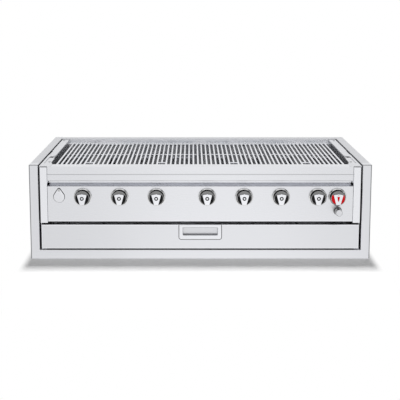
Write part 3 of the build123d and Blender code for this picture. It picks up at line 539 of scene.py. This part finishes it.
def heatedSheet(name, level, rough):
    values = heatSettings
    finish = Finish(name, Metallic=1.0)
    cloud = finish.noise(values["cloudScale"], values["cloudDetail"], values["cloudRoughness"])
    stops = [(place, tuple(level * share for share in tint) + (1,))
             for place, tint in values["tints"]]
    finish.feed("Base Color", finish.node("ShaderNodeValToRGB", {"stops": stops}, {"Fac": cloud}))
    fine = finish.noise(values["fineScale"])
    finish.feed("Roughness", (fine - 0.5) * values["fineRough"] +
                (cloud - 0.5) * values["cloudRough"] + rough)
    finish.bump(fine, values["fineStrength"], values["fineDepth"])
    return finish.material


fireboxSheet = heatedSheet("fireboxSheet", level=0.56, rough=0.4)
backSheet = heatedSheet("backSheet", level=0.85, rough=0.5)
radiantSheet = heatedSheet("radiantSheet", level=0.28, rough=0.5)
burnerSheet = heatedSheet("burnerSheet", level=0.38, rough=0.38)

# Zinc coat: crystals of slightly different greys
zincSettings = {
    "crystalScale": 70.0,
    "crystalShare": 0.6,
    "crystalRough": 0.18,
    "cloudScale": 6,
    "cloudDetail": 4.0,
    "shades": (0.47, 0.66),
    "cool": 0.02,
    "rough": 0.38,
}


def zincCoat(name):
    values = zincSettings
    finish = Finish(name, Metallic=0.85)
    crystal = finish.node("ShaderNodeTexVoronoi", {"feature": "F1"},
                          {"Vector": finish.place, "Scale": values["crystalScale"],
                           "Randomness": 1.0}, "Color")
    single = finish.part(crystal, "X")
    cloud = finish.noise([values["cloudScale"]] * 3, values["cloudDetail"])
    mask = single * values["crystalShare"] + cloud * (1 - values["crystalShare"])
    darker, lighter = (grey(shade, values["cool"]) for shade in values["shades"])
    finish.feed("Base Color", finish.mixColours(mask, darker, lighter))
    finish.feed("Roughness", single * values["crystalRough"] + values["rough"])
    return finish.material


zincSheet = zincCoat("zincSheet")

# Mineral wool board
woolSettings = {
    "fibreScale": [90, 240, 240],
    "fibreDetail": 8.0,
    "fibreRoughness": 0.75,
    "colours": [(0.42, 0.36, 0.24, 1), (0.74, 0.68, 0.52, 1)],
    "rough": 0.75,
    "roughSpread": 0.2,
    "fibreStrength": 0.6,
    "fibreDepth": 0.002,
}


def mineralWool(name):
    values = woolSettings
    finish = Finish(name)
    fibre = finish.noise(values["fibreScale"], values["fibreDetail"], values["fibreRoughness"])
    finish.feed("Base Color", finish.mixColours(fibre, *values["colours"]))
    finish.feed("Roughness", fibre * values["roughSpread"] + values["rough"])
    finish.bump(fibre, values["fibreStrength"], values["fibreDepth"])
    return finish.material


woolBoard = mineralWool("woolBoard")

# Machined brass
brassSettings = {
    "cutScale": [300, 2500, 300],
    "cutDetail": 2.0,
    "cutRough": 0.12,
    "cutStrength": 0.05,
    "cutDepth": 0.0002,
    "cloudScale": 40,
    "colours": [(0.58, 0.4, 0.13, 1), (0.78, 0.6, 0.28, 1)],
}


def brass(name, rough):
    values = brassSettings
    finish = Finish(name, Metallic=1.0)
    cut = finish.noise(values["cutScale"], values["cutDetail"])
    cloud = finish.noise([values["cloudScale"]] * 3)
    finish.feed("Base Color", finish.mixColours(cloud, *values["colours"]))
    finish.feed("Roughness", (cut - 0.5) * values["cutRough"] + rough)
    finish.bump(cut, values["cutStrength"], values["cutDepth"])
    return finish.material


valveBrass = brass("valveBrass", rough=0.28)
stemBrass = brass("stemBrass", rough=0.2)
print("finishes made")

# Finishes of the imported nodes: by name, or by the start of the name
nodeFinishes = {
    "sleeve_front_frame": frameSheet,
    "sleeve_left_wall": sleeveSideSheet,
    "sleeve_right_wall": sleeveSideSheet,
    "sleeve_back_wall": sleeveSheet,
    "sleeve_floor": zincSheet,
    "sleeve_insulation": woolBoard,
    "left_side_panel": postSheet,
    "right_side_panel": postSheet,
    "left_top_plate": plateSheet,
    "right_top_plate": plateSheet,
    "fasteners": screwSteel,
    "rear_panel": rearSheet,
    "front_rail": railSheet,
    "control_panel": controlSheet,
    "firebox_front": fireboxSheet,
    "firebox_burner_wall": fireboxSheet,
    "firebox_rear": backSheet,
    "firebox_left": fireboxSheet,
    "firebox_right": fireboxSheet,
    "radiants": radiantSheet,
    "pilot_burner": burnerSheet,
    "gas_manifold": manifoldPaint,
    "gas_inlet_pipe": manifoldPaint,
    "gas_valves": valveBrass,
    "control_bezels": bezelChrome,
    "igniter_button": igniterChrome,
    "igniter_module": modulePlastic,
    "igniter_electrode": ceramicWhite,
    "lighting_port_cover": coverSheet,
    "drawer_front": drawerSheet,
    "drip_tray": trayAndShadeSheet,
    "drawer_handle": pullSheet,
    "drawer_runners": zincSheet,
}
groupFinishes = {
    "burner_": burnerSheet,
    "valve_stem_": stemBrass,
    "grate_": rodSteel,
    "knob_": knobBlack,
}
for name, node in nodes.items():
    finish = nodeFinishes.get(name)
    for start, shared in groupFinishes.items():
        if name.startswith(start):
            finish = shared
    dress(node, finish)
print("nodes dressed")

# Knobs: a chrome skirt round a coloured face, and a fan-shaped grip with a pointer notch.
# Lengths are in mm; a reach, an end or a place in rings is in front of the front plane.
knobSettings = {
    "skirtRings": [(28.5, 6), (29.7, 6.3), (30, 7.2), (29.2, 22.5), (28.8, 23.6), (27.9, 24),
                   (27.1, 23.6), (26.8, 22.4)],
    "skirtSteps": 96,
    "skirtSmooth": 40,
    "discSides": 20,                            # a face with more sides is the skirt's disc
    "backTurn": 0.5,                            # how far the skirt's rear faces turn away
    # Painted shade and dark reflection: the skirt's side is black above sideDark
    "sideDark": 4.0,                            # the skirt's side is black above this height
    "faceReach": 22.4,
    "bandHeight": 12.5,                         # the face is grey above this height
    "gripSteps": 96,
    "gripSink": 0.6,
    "gripRadius": 62.0,
    "gripDrop": 44.2,
    "gripTop": (19.6, 12.6),
    "gripFoot": (8.5, -27.0),
    "gripEnd": 32.0,
    "gripTaper": 0.965,
    "taperDrop": 3.0,
    "gripEdge": 1.3,
    "gripSharp": 50,
    "gripSmooth": 28,
    "notchHalf": 1.9,
    "notchDepth": 5.0,
    "notchBack": 5.0,
    "notchTop": 30.0,
    "cutClear": 2.0,
    "ringRadius": 8.0,
    "ringDepth": 1.0,
    "ringSteps": 40,
    "floorNear": 0.2,
    "studRings": [(3.9, 1.2), (3.9, 0.5), (3.4, 0.1), (2.2, 0)],    # radius, drop below the end
    "studSteps": 24,
    "slotDepth": 1.2,
    "slotTop": (5.5, 8.0),
    "slotFoot": (2.0, -11.0),
    "dotHeight": 12.2,
    "dotRings": [(1.7, 25.6), (1.7, 30.2), (1.2, 30.6)],
    "dotSteps": 16,
    "smallSmooth": 60,
}


# A plain round dimple, which a stud fills
def carveDimple(grip, x, z):
    values = knobSettings
    radius, end = values["ringRadius"], values["gripEnd"]
    rings = [(radius, end - values["ringDepth"]), (radius, end + values["cutClear"])]
    return carve(grip, turned("pit", x, z, rings, values["ringSteps"]))


# A slot that tapers to its foot, from a small block whose corners are moved
def carveSlot(grip, x, z):
    values = knobSettings
    end = front - values["gripEnd"] / 1000
    seed = 0.001
    slot = block("slot", (x - seed, end - values["cutClear"] / 1000, z - seed),
                 (x + seed, end + values["slotDepth"] / 1000, z + seed))
    for corner in slot.data.vertices:
        half, height = values["slotFoot" if corner.co.z < z else "slotTop"]
        side = -1 if corner.co.x < x else 1
        corner.co.x = x + side * half / 1000
        corner.co.z = z + height / 1000
    return carve(grip, slot)


def knobGrip(name, x, z, grade):
    values = knobSettings
    start = front - (values["faceReach"] - values["gripSink"]) / 1000
    bpy.ops.object.select_all(action="DESELECT")
    bpy.ops.mesh.primitive_circle_add(vertices=values["gripSteps"],
                                      radius=values["gripRadius"] / 1000, fill_type="NGON",
                                      location=(x, start, z - values["gripDrop"] / 1000),
                                      rotation=(math.pi / 2, 0, 0))
    grip = settle(bpy.context.active_object, name)
    topX, topZ = (value / 1000 for value in values["gripTop"])
    footX, footZ = (value / 1000 for value in values["gripFoot"])
    bpy.ops.object.mode_set(mode="EDIT")
    for hand in (-1, 1):                        # the two slanting sides
        bpy.ops.mesh.select_all(action="SELECT")
        bpy.ops.mesh.bisect(plane_co=(x + hand * topX, start, z + topZ),
                            plane_no=(hand * (topZ - footZ), 0, footX - topX), clear_outer=True)
    bpy.ops.mesh.select_all(action="SELECT")
    bpy.ops.mesh.bisect(plane_co=(x, start, z + footZ), plane_no=(0, 0, -1), clear_outer=True)
    bpy.ops.mesh.select_all(action="SELECT")
    reach = (values["gripEnd"] - values["faceReach"] + values["gripSink"]) / 1000
    bpy.ops.mesh.extrude_region_move(TRANSFORM_OT_translate={"value": (0, -reach, 0)})
    ratio = values["gripTaper"]
    bpy.ops.transform.resize(value=(ratio, 1, ratio),
                             center_override=(x, front, z - values["taperDrop"] / 1000))
    leaveEdit(recalculate=True)
    shape(grip, "BEVEL", width=values["gripEdge"] / 1000, segments=3, limit_method="ANGLE",
          angle_limit=math.radians(values["gripSharp"]))
    end = front - values["gripEnd"] / 1000
    notchHalf = values["notchHalf"] / 1000
    notchFoot = (values["gripRadius"] - values["gripDrop"] - values["notchDepth"]) / 1000
    carve(grip, block("notch", (x - notchHalf, end - values["cutClear"] / 1000, z + notchFoot),
                      (x + notchHalf, end + values["notchBack"] / 1000,
                       z + values["notchTop"] / 1000)))
    if grade == "plain":
        carveDimple(grip, x, z)
    else:
        carveSlot(grip, x, z)
    dress(grip, gripSteel)
    return smoothed(grip, values["gripSmooth"])


def facesFront(part):
    return part.normal.y < -meshSettings["facing"]


# The many-sided disc at the skirt's front
def isDisc(part):
    return len(part.vertices) > knobSettings["discSides"] and facesFront(part)


# The sunk floor at a place along Y
def isFloor(part, place):
    return abs(part.center.y - place) < knobSettings["floorNear"] / 1000 and facesFront(part)


def knobMade(name, x, z, grade):
    values = knobSettings
    skirt = turned(name + "Skirt", x, z, values["skirtRings"], values["skirtSteps"])
    smoothed(skirt, values["skirtSmooth"])
    dress(skirt, skirtChrome)
    # Painted shade and dark reflection: black on the skirt's side above sideDark, chrome below
    darkHeight = z + values["sideDark"] / 1000
    trim(skirt, knobBlack, lambda part: part.normal.y > -values["backTurn"] and
         part.center.z > darkHeight)
    bandHeight = z + values["bandHeight"] / 1000
    grabFaces(skirt, isDisc)
    bpy.ops.mesh.bisect(plane_co=(x, 0, bandHeight), plane_no=(0, 0, 1))
    leaveEdit()
    trim(skirt, knobBlack if grade == "plain" else knobRed, isDisc)
    trim(skirt, bandGrey, lambda part: isDisc(part) and part.center.z > bandHeight)
    grip = knobGrip(name + "Grip", x, z, grade)
    end = front - values["gripEnd"] / 1000
    if grade == "plain":
        floorPlace = end + values["ringDepth"] / 1000
        trim(grip, ringGrey, lambda part: isFloor(part, floorPlace))
        rings = [(radius, values["gripEnd"] - drop) for radius, drop in values["studRings"]]
        small = turned("stud", x, z, rings, values["studSteps"])
        dress(smoothed(small, values["smallSmooth"]), gripSteel)
    else:
        floorPlace = end + values["slotDepth"] / 1000
        trim(grip, knobRed, lambda part: isFloor(part, floorPlace))
        small = turned("dot", x, z + values["dotHeight"] / 1000, values["dotRings"],
                       values["dotSteps"])
        dress(smoothed(small, values["smallSmooth"]), knobRed)
    return joined([skirt, grip, small], name)


firstX, knobZ = axisOf("knob_1")
plainKnob = knobMade("knobPiece1", firstX, knobZ, "plain")
standFor(plainKnob, "knob_1", "knob_1")
for place in range(2, 8):
    x, z = axisOf(f"knob_{place}")
    twin = copied(plainKnob, f"knobPiece{place}", (x - firstX, 0, z - knobZ))
    standFor(twin, f"knob_{place}", f"knob_{place}")
lastX, lastZ = axisOf("knob_8")
standFor(knobMade("knobPiece8", lastX, lastZ, "red"), "knob_8", "knob_8")
print("knobs made")

# Bezels: a rounded chrome ring round each knob, and a straight collar round the igniter, in mm
bezelSettings = {
    "bezelRings": [(37, 0), (37, 1.6), (36.9, 3.2), (36.5, 4.8), (35.9, 6.2), (35.1, 7.4),
                   (34.2, 8.3), (33.3, 8.8), (32.6, 9.0), (32, 8.6), (31.5, 7.0), (31.2, 4.0),
                   (31.1, 0)],
    "bezelSteps": 96,
    "bezelSmooth": 60,
    # Partly painted: the inner slope is black all round, as black enamel and as painted dark
    # reflection; the foot is black only above the middle, painted shade
    "innerSlope": 32.4,                         # black inside this radius
    "foot": 1.7,                                # and below this reach, above the middle
    "collarRings": [(17, 0), (17, 10.8), (16.7, 12.2), (16.2, 12.9), (15.6, 13), (14.9, 12.7),
                    (14.5, 11.9), (14.4, 0)],
    "collarSteps": 64,
    "collarSmooth": 50,
}


def bezelMade(x, z):
    values = bezelSettings
    ring = turned("bezelRing", x, z, values["bezelRings"], values["bezelSteps"], hollow=True)
    dress(smoothed(ring, values["bezelSmooth"]), bezelChrome)

    # Painted shade and dark reflection: the black faces of the ring, the inner slope all round and
    # the foot above the middle only
    def dark(face):
        radius = math.hypot(face.center.x - x, face.center.z - z) * 1000
        foot = (front - face.center.y) * 1000 < values["foot"] and face.center.z > z
        return foot or radius < values["innerSlope"]
    return trim(ring, bezelBlack, dark)


rings = [bezelMade(firstX, knobZ)]
for place in range(2, 9):
    x, z = axisOf(f"knob_{place}")
    rings.append(copied(rings[0], f"bezelRing{place}", (x - firstX, 0, z - knobZ)))
igniterX, igniterZ = axisOf("igniter_button")
collar = turned("collar", igniterX, igniterZ, bezelSettings["collarRings"],
                bezelSettings["collarSteps"], hollow=True)
rings.append(dress(smoothed(collar, bezelSettings["collarSmooth"]), igniterChrome))
standFor(joined(rings, "bezelPieces"), "grill", "control_bezels")

# Igniter button: a chrome plunger with a shallow dish in its end, in mm
igniterSettings = {
    "rings": [(4, -16), (4, 8), (14, 8), (14, 46.7), (13.8, 47.4), (13.3, 47.8), (12.7, 48),
              (11.9, 47.9), (11.3, 47.4), (10.8, 47.2), (4.0, 47.4)],
    "steps": 64,
    "smooth": 40,
    "dishReach": 46.5,
    "dishTurn": 0.8,
}
dishPlace = front - igniterSettings["dishReach"] / 1000
button = turned("buttonPiece", igniterX, igniterZ, igniterSettings["rings"],
                igniterSettings["steps"])
dress(smoothed(button, igniterSettings["smooth"]), igniterChrome)
trim(button, buttonSteel, lambda part: part.normal.y < -igniterSettings["dishTurn"] and
     part.center.y < dishPlace)
standFor(button, "igniter_button", "igniter_button")
print("bezels and igniter made")

# Port cover: its rim is rounded, and a black sheet with the port's square hole shows round it,
# a painted shadow along the cover's upper edges
coverSettings = {
    "rim": 0.0005,
    "smooth": 40,
    "shadowGrowth": 1.1,
    "shadowRise": 0.0016,
    "shadowDepths": (0.00002, 0.00024),
    "shadowHole": 0.0148,
    "cutClear": 0.01,
}


# A copy of a node's mesh, with its triangles merged to the flat faces that they make up
def nodeCopy(node, name):
    piece = copied(nodes[node], name, (0, 0, 0))
    grabAll(piece)
    bpy.ops.mesh.remove_doubles(threshold=meshSettings["merge"])
    bpy.ops.mesh.dissolve_limited(angle_limit=math.radians(meshSettings["flatAngle"]))
    leaveEdit(recalculate=True)
    return piece


def coverMade():
    cover = soften(nodeCopy("lighting_port_cover", "coverPiece"), coverSettings["rim"])
    return dress(smoothed(cover, coverSettings["smooth"]), coverSheet)


# The painted shadow is a black sheet in the cover's outline, grown, raised and flattened
def coverShadowMade():
    values = coverSettings
    coverShadow = nodeCopy("lighting_port_cover", "coverShadowSheet")
    x, z = axisOf("lighting_port_cover")
    growth = values["shadowGrowth"]
    grabAll(coverShadow)
    bpy.ops.transform.resize(value=(growth, 1, growth), center_override=(x, front, z))
    bpy.ops.transform.translate(value=(0, 0, values["shadowRise"]))
    leaveEdit()
    corners = coverShadow.data.vertices
    middleDepth = sum(corner.co.y for corner in corners) / len(corners)
    shallow, deep = values["shadowDepths"]
    for corner in corners:
        corner.co.y = front - (deep if corner.co.y < middleDepth else shallow)
    hole, clear = values["shadowHole"], values["cutClear"]
    carve(coverShadow, block("hole", (x - hole, front - clear, knobZ - hole),
                      (x + hole, front + clear, knobZ + hole)))
    return dress(coverShadow, shadowBlack)


cover = coverMade()
coverShadow = coverShadowMade()
standFor(cover, "lighting_port_cover", "lighting_port_cover")
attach(coverShadow, "grill")

# Drawer pull: a bright plate with rounded corners, a round-cornered mouth, a pocket with a trough
# behind its lip, painted shade on the pocket's trough and sides, and a thin black sheet round the
# plate, a painted shadow outline
pullSettings = {
    "plateCorner": 0.008,
    "plateBack": 0.0003,
    "cornerSteps": 6,
    "mouthCorner": 0.004,
    "mouthShares": (0.552, 0.895),              # of the drawer front's height
    "mouthHalf": 0.071,
    "pocketInset": 0.0012,
    "pocketStart": 0.0002,
    "pocketDepth": 0.0135,
    "pocketSheet": 0.0008,
    "sideTurn": 0.5,                            # the pocket's sides turn this little to the front
    "troughDepth": 0.005,
    "lipDepth": 0.003,
    "shadowWidth": 0.0026,
    "shadowDepths": (0.00028, 0.00002),
    "edge": 0.0004,
    "smooth": 40,
    "nearby": 0.001,                            # corners this near a height are at it
    "cutClear": 0.01,
}


# Rounds the edges of a block that run along Y, where the test passes
def roundCorners(piece, radius, test):
    level = meshSettings["level"]
    grabEdges(piece, lambda first, second: abs(first.y - second.y) > level and test(first))
    bpy.ops.mesh.bevel(offset=radius, segments=pullSettings["cornerSteps"], affect="EDGES")
    leaveEdit(recalculate=True)
    return piece


def pullMade():
    values = pullSettings
    low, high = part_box("drawer_handle")
    bottom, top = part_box("drawer_front")[0].z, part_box("drawer_front")[1].z
    mouthLow, mouthHigh = (bottom + share * (top - bottom) for share in values["mouthShares"])
    half, clear = values["mouthHalf"], values["cutClear"]
    inset, nearby = values["pocketInset"], values["nearby"]
    back = front + values["pocketDepth"]
    lip = front + values["lipDepth"]
    mouthCorners = (-half, front - clear, mouthLow), (half, front + clear, mouthHigh)

    def atFoot(corner):
        return corner.z < low.z + nearby

    plate = block("pullPiece", (low.x, low.y, low.z),
                  (high.x, front - values["plateBack"], high.z))
    roundCorners(plate, values["plateCorner"], atFoot)
    mouth = block("mouth", *mouthCorners)
    carve(plate, roundCorners(mouth, values["mouthCorner"], lambda corner: True))
    dress(smoothed(soften(plate, values["edge"]), values["smooth"]), pullSheet)

    pocket = block("pocket", (inset - half, front - values["pocketStart"], mouthLow + inset),
                   (half - inset, back, mouthHigh - inset))
    grabAll(pocket)
    bpy.ops.mesh.bisect(plane_co=(0, lip, 0), plane_no=(0, 1, 0))
    leaveEdit()
    grabFaces(pocket, lambda face: face.normal.z < -meshSettings["facing"] and
              face.center.y > lip)
    drop = {"value": (0, 0, -inset - values["troughDepth"])}
    bpy.ops.mesh.extrude_region_move(TRANSFORM_OT_translate=drop)
    leaveEdit()
    grabFaces(pocket, lambda face: facesFront(face) and face.center.z > mouthLow and
              face.center.y < lip - nearby)
    bpy.ops.mesh.delete(type="FACE")            # the pocket's open front
    leaveEdit(recalculate=True)
    shape(pocket, "SOLIDIFY", thickness=values["pocketSheet"], offset=0)
    dress(pocket, pocketSheet)
    # Painted shade: the pocket's trough and sides are darker
    trim(pocket, trayAndShadeSheet, lambda face: face.center.z < mouthLow + inset or
         abs(face.normal.y) < values["sideTurn"])

    # Painted shadow: a thin black outline round the plate
    rim = values["shadowWidth"]
    shallow, deep = values["shadowDepths"]
    strip = block("strip", (low.x - rim, front - shallow, low.z - rim),
                  (high.x + rim, front - deep, high.z - nearby))
    roundCorners(strip, values["plateCorner"] + rim, atFoot)
    dress(carve(strip, block("hole", *mouthCorners)), shadowBlack)
    return joined([plate, pocket, strip], "pullPiece")


standFor(pullMade(), "drawer", "drawer_handle")
print("port cover and drawer pull made")

# Grates: round rods with domed ends, welded on three bars, and a short bar at the lifting slot.
# Rings are in mm, all else in metres.
grateSettings = {
    "rodRings": [(1.4, -592), (2.9, -591.6), (3.8, -590.6), (4, -589.2), (4, -44.8), (3.8, -43.4),
                 (2.9, -42.4), (1.4, -42)],
    "shortRings": [(1.4, -592), (2.9, -591.6), (3.8, -590.6), (4, -589.2), (4, -102)],
    "rodSteps": 14,
    "rodSmooth": 40,
    "rodCount": 16,
    "rodsBeforeSlot": 7,
    "rodPitch": 0.0186,
    "rodDrop": 0.004,
    "barDepths": (0.057, 0.317, 0.577),
    "barWidth": 0.005,
    "barPast": 0.002,
    "barTop": 0.0036,
    "barEdge": 0.0012,
    "slotBarDepths": (0.1, 0.104),
    "slotBarFoot": 0.004,
    "slotBarTop": 0.003,
    "slotBarEdge": 0.001,
}


def grateMade(name, node):
    values = grateSettings
    low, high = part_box(node)
    middle = (low.x + high.x) / 2
    pitch = values["rodPitch"]
    rodZ = high.z - values["rodDrop"]
    halfRun = pitch * (values["rodCount"] - 1) / 2
    firstRod = middle - halfRun
    steps, smooth = values["rodSteps"], values["rodSmooth"]
    rod = smoothed(turned("rod", firstRod, rodZ, values["rodRings"], steps), smooth)
    parts = [rod]
    for place in range(1, values["rodCount"]):
        if place != values["rodsBeforeSlot"]:
            parts.append(copied(rod, f"rod{place}", (pitch * place, 0, 0)))
    slotX = firstRod + pitch * values["rodsBeforeSlot"]
    parts.append(smoothed(turned("shortRod", slotX, rodZ, values["shortRings"], steps), smooth))
    halfBar = halfRun + values["barPast"]
    for depth in values["barDepths"]:
        bar = block("bar", (middle - halfBar, front + depth - values["barWidth"] / 2, low.z),
                    (middle + halfBar, front + depth + values["barWidth"] / 2,
                     rodZ - values["barTop"]))
        parts.append(soften(bar, values["barEdge"]))
    near, far = values["slotBarDepths"]
    slotBar = block("slotBar", (slotX - pitch, front + near, rodZ - values["slotBarFoot"]),
                    (slotX + pitch, front + far, rodZ + values["slotBarTop"]))
    parts.append(soften(slotBar, values["slotBarEdge"]))
    return dress(joined(parts, name), rodSteel)


firstGrate = grateMade("gratePiece1", "grate_1")
firstMiddle = axisOf("grate_1")[0]
standFor(firstGrate, "grate_1", "grate_1")
for place in range(2, 5):
    offset = (axisOf(f"grate_{place}")[0] - firstMiddle, 0, 0)
    standFor(copied(firstGrate, f"gratePiece{place}", offset), f"grate_{place}", f"grate_{place}")
print("grates made")

# Camera at the photograph's place
viewSettings = {
    "place": (-0.0358, -3.3188 + front, 1.0522),
    "pitch": 7.76,
    "focalPixels": 845.9,
    "imageWidth": 400,
    "axisColumn": 191.39,
    "shiftDown": -0.22,
    "sensor": 36,
    "clip": (0.05, 100),
}
bpy.ops.object.select_all(action="DESELECT")
bpy.ops.object.camera_add(location=viewSettings["place"],
                          rotation=(math.radians(90 - viewSettings["pitch"]), 0, 0))
camera = bpy.context.active_object
camera.name = "photoCamera"
width = viewSettings["imageWidth"]
camera.data.sensor_width = viewSettings["sensor"]
camera.data.lens = viewSettings["sensor"] * viewSettings["focalPixels"] / width
camera.data.shift_x = (width / 2 - viewSettings["axisColumn"]) / width
camera.data.shift_y = viewSettings["shiftDown"]
camera.data.clip_start, camera.data.clip_end = viewSettings["clip"]
bpy.context.scene.camera = camera

# Floor: white paper that keeps the shadow and looks white where it is lit. What shines mirrors it
# as a white sheet, a little darker toward its ends.
floorSettings = {
    "size": 60.0,
    "drop": 0.0005,
    "grainScale": 30,
    "shades": (0.9, 0.93),
    "glow": 0.04,
    "sideFade": (0.675, 0.715),                 # where the shadow fades out, beside and in front
    "frontFade": (0.5, 0.9),
    "brightPlace": 0.1,
    "mirrorFade": (0.1, 0.8),
    "mirrorEnds": 0.88,
}
paper = Finish("floorPaper", Roughness=0.9, Specular_IOR_Level=0.1)
grain = paper.noise([floorSettings["grainScale"]] * 3)
darker, lighter = (grey(shade) for shade in floorSettings["shades"])
paper.feed("Base Color", paper.mixColours(grain, darker, lighter))


def paperLight(strength):
    return paper.node("ShaderNodeEmission", {}, {"Color": grey(1.0), "Strength": strength})


plainPaper = Wire(paper, paper.shader.outputs[0])
white = paperLight(1.0)
lit = paper.node("ShaderNodeAddShader", {}, {0: plainPaper, 1: paperLight(floorSettings["glow"])})
shaded = 1
for axis, fade in (("X", "sideFade"), ("Y", "frontFade")):
    away = paper.size(paper.along(axis)).between(*floorSettings[fade])
    shaded = (1 - away) * shaded
seenPaper = paper.mixShaders(shaded, white, lit)
aside = paper.size(paper.along("X") - floorSettings["brightPlace"])
mirroredPaper = paper.mixShaders(aside.between(*floorSettings["mirrorFade"]), white,
                                 paperLight(floorSettings["mirrorEnds"]))
glossyRay = paper.node("ShaderNodeLightPath", output="Is Glossy Ray")
cameraRay = paper.node("ShaderNodeLightPath", output="Is Camera Ray")
unseenPaper = paper.mixShaders(glossyRay, plainPaper, mirroredPaper)
paperOut = paper.tree.nodes["Material Output"]
paper.link(paperOut.inputs["Surface"], paper.mixShaders(cameraRay, unseenPaper, seenPaper))
bpy.ops.object.select_all(action="DESELECT")
bpy.ops.mesh.primitive_plane_add(size=floorSettings["size"],
                                 location=(0, 0, -floorSettings["drop"]))
floor = bpy.context.active_object
floor.name = "studioFloor"
dress(floor, paper.material)

# Studio: plain light all round, seen as white, with a dark wall at each side for what shines.
# Places are parts of a direction's length, from 0 to 1.
worldSettings = {
    "light": 0.3,
    "seen": 1.0,
    "behind": 0.08,
    "behindFade": (0.5, 0.8),
    "above": 0.1,
    "aboveFade": (0.6, 0.8),
    "wallFade": (0.34, 0.52),                   # where a side wall begins
    "wallTop": (0.69, 0.84),                    # and ends above
    "wallRise": (0.4, 0.5),
    "wallLow": 0.4,                             # its darkness low down, and higher up
    "wallDark": 0.97,
}
world = bpy.data.worlds.new("studio")
bpy.context.scene.world = world
world.use_nodes = True
world.node_tree.nodes.clear()
studio = NodeWeb(world.node_tree)
look = studio.node("ShaderNodeTexCoord", output="Generated")
upward = studio.part(look, "Z")
backward = studio.part(look, "Y")
wall = studio.size(studio.part(look, "X")).between(*worldSettings["wallFade"])
wallHigh = worldSettings["wallDark"] - worldSettings["wallLow"]
darkness = upward.between(*worldSettings["wallRise"]) * wallHigh + worldSettings["wallLow"]
dim = 1 - wall * (1 - upward.between(*worldSettings["wallTop"])) * darkness
dim = dim * (1 - backward.between(*worldSettings["behindFade"]) * worldSettings["behind"])
dim = dim * (1 - upward.between(*worldSettings["aboveFade"]) * worldSettings["above"])


def backdrop(strength):
    return studio.node("ShaderNodeBackground", {}, {"Color": grey(1.0), "Strength": strength})


glossyRay = studio.node("ShaderNodeLightPath", output="Is Glossy Ray")
cameraRay = studio.node("ShaderNodeLightPath", output="Is Camera Ray")
shining = studio.mixShaders(glossyRay, backdrop(worldSettings["light"]), backdrop(dim))
worldOut = studio.tree.nodes.new("ShaderNodeOutputWorld")
studio.link(worldOut.inputs["Surface"],
            studio.mixShaders(cameraRay, shining, backdrop(worldSettings["seen"])))

# Lamps: name, place, target, size in metres, watts
lampSettings = [
    ("topLamp", (0.0, 0.8, 3.5), (0.0, 0.0, 0.3), 0.8, 130.0),
    ("frontLamp", (0.0, -3.2, 2.6), (0.0, 0.0, 0.2), 2.5, 9.0),
]
for name, place, target, size, power in lampSettings:
    bpy.ops.object.select_all(action="DESELECT")
    bpy.ops.object.light_add(type="AREA", location=place)
    lamp = bpy.context.active_object
    lamp.name = name
    lamp.data.size = size
    lamp.data.energy = power
    lamp.visible_glossy = False                 # metal mirrors the studio, not the lamps
    aim = Vector(target) - Vector(place)
    lamp.rotation_euler = aim.to_track_quat("-Z", "Y").to_euler()
bpy.context.scene.view_settings.view_transform = "Standard"
print("camera, floor and light set")
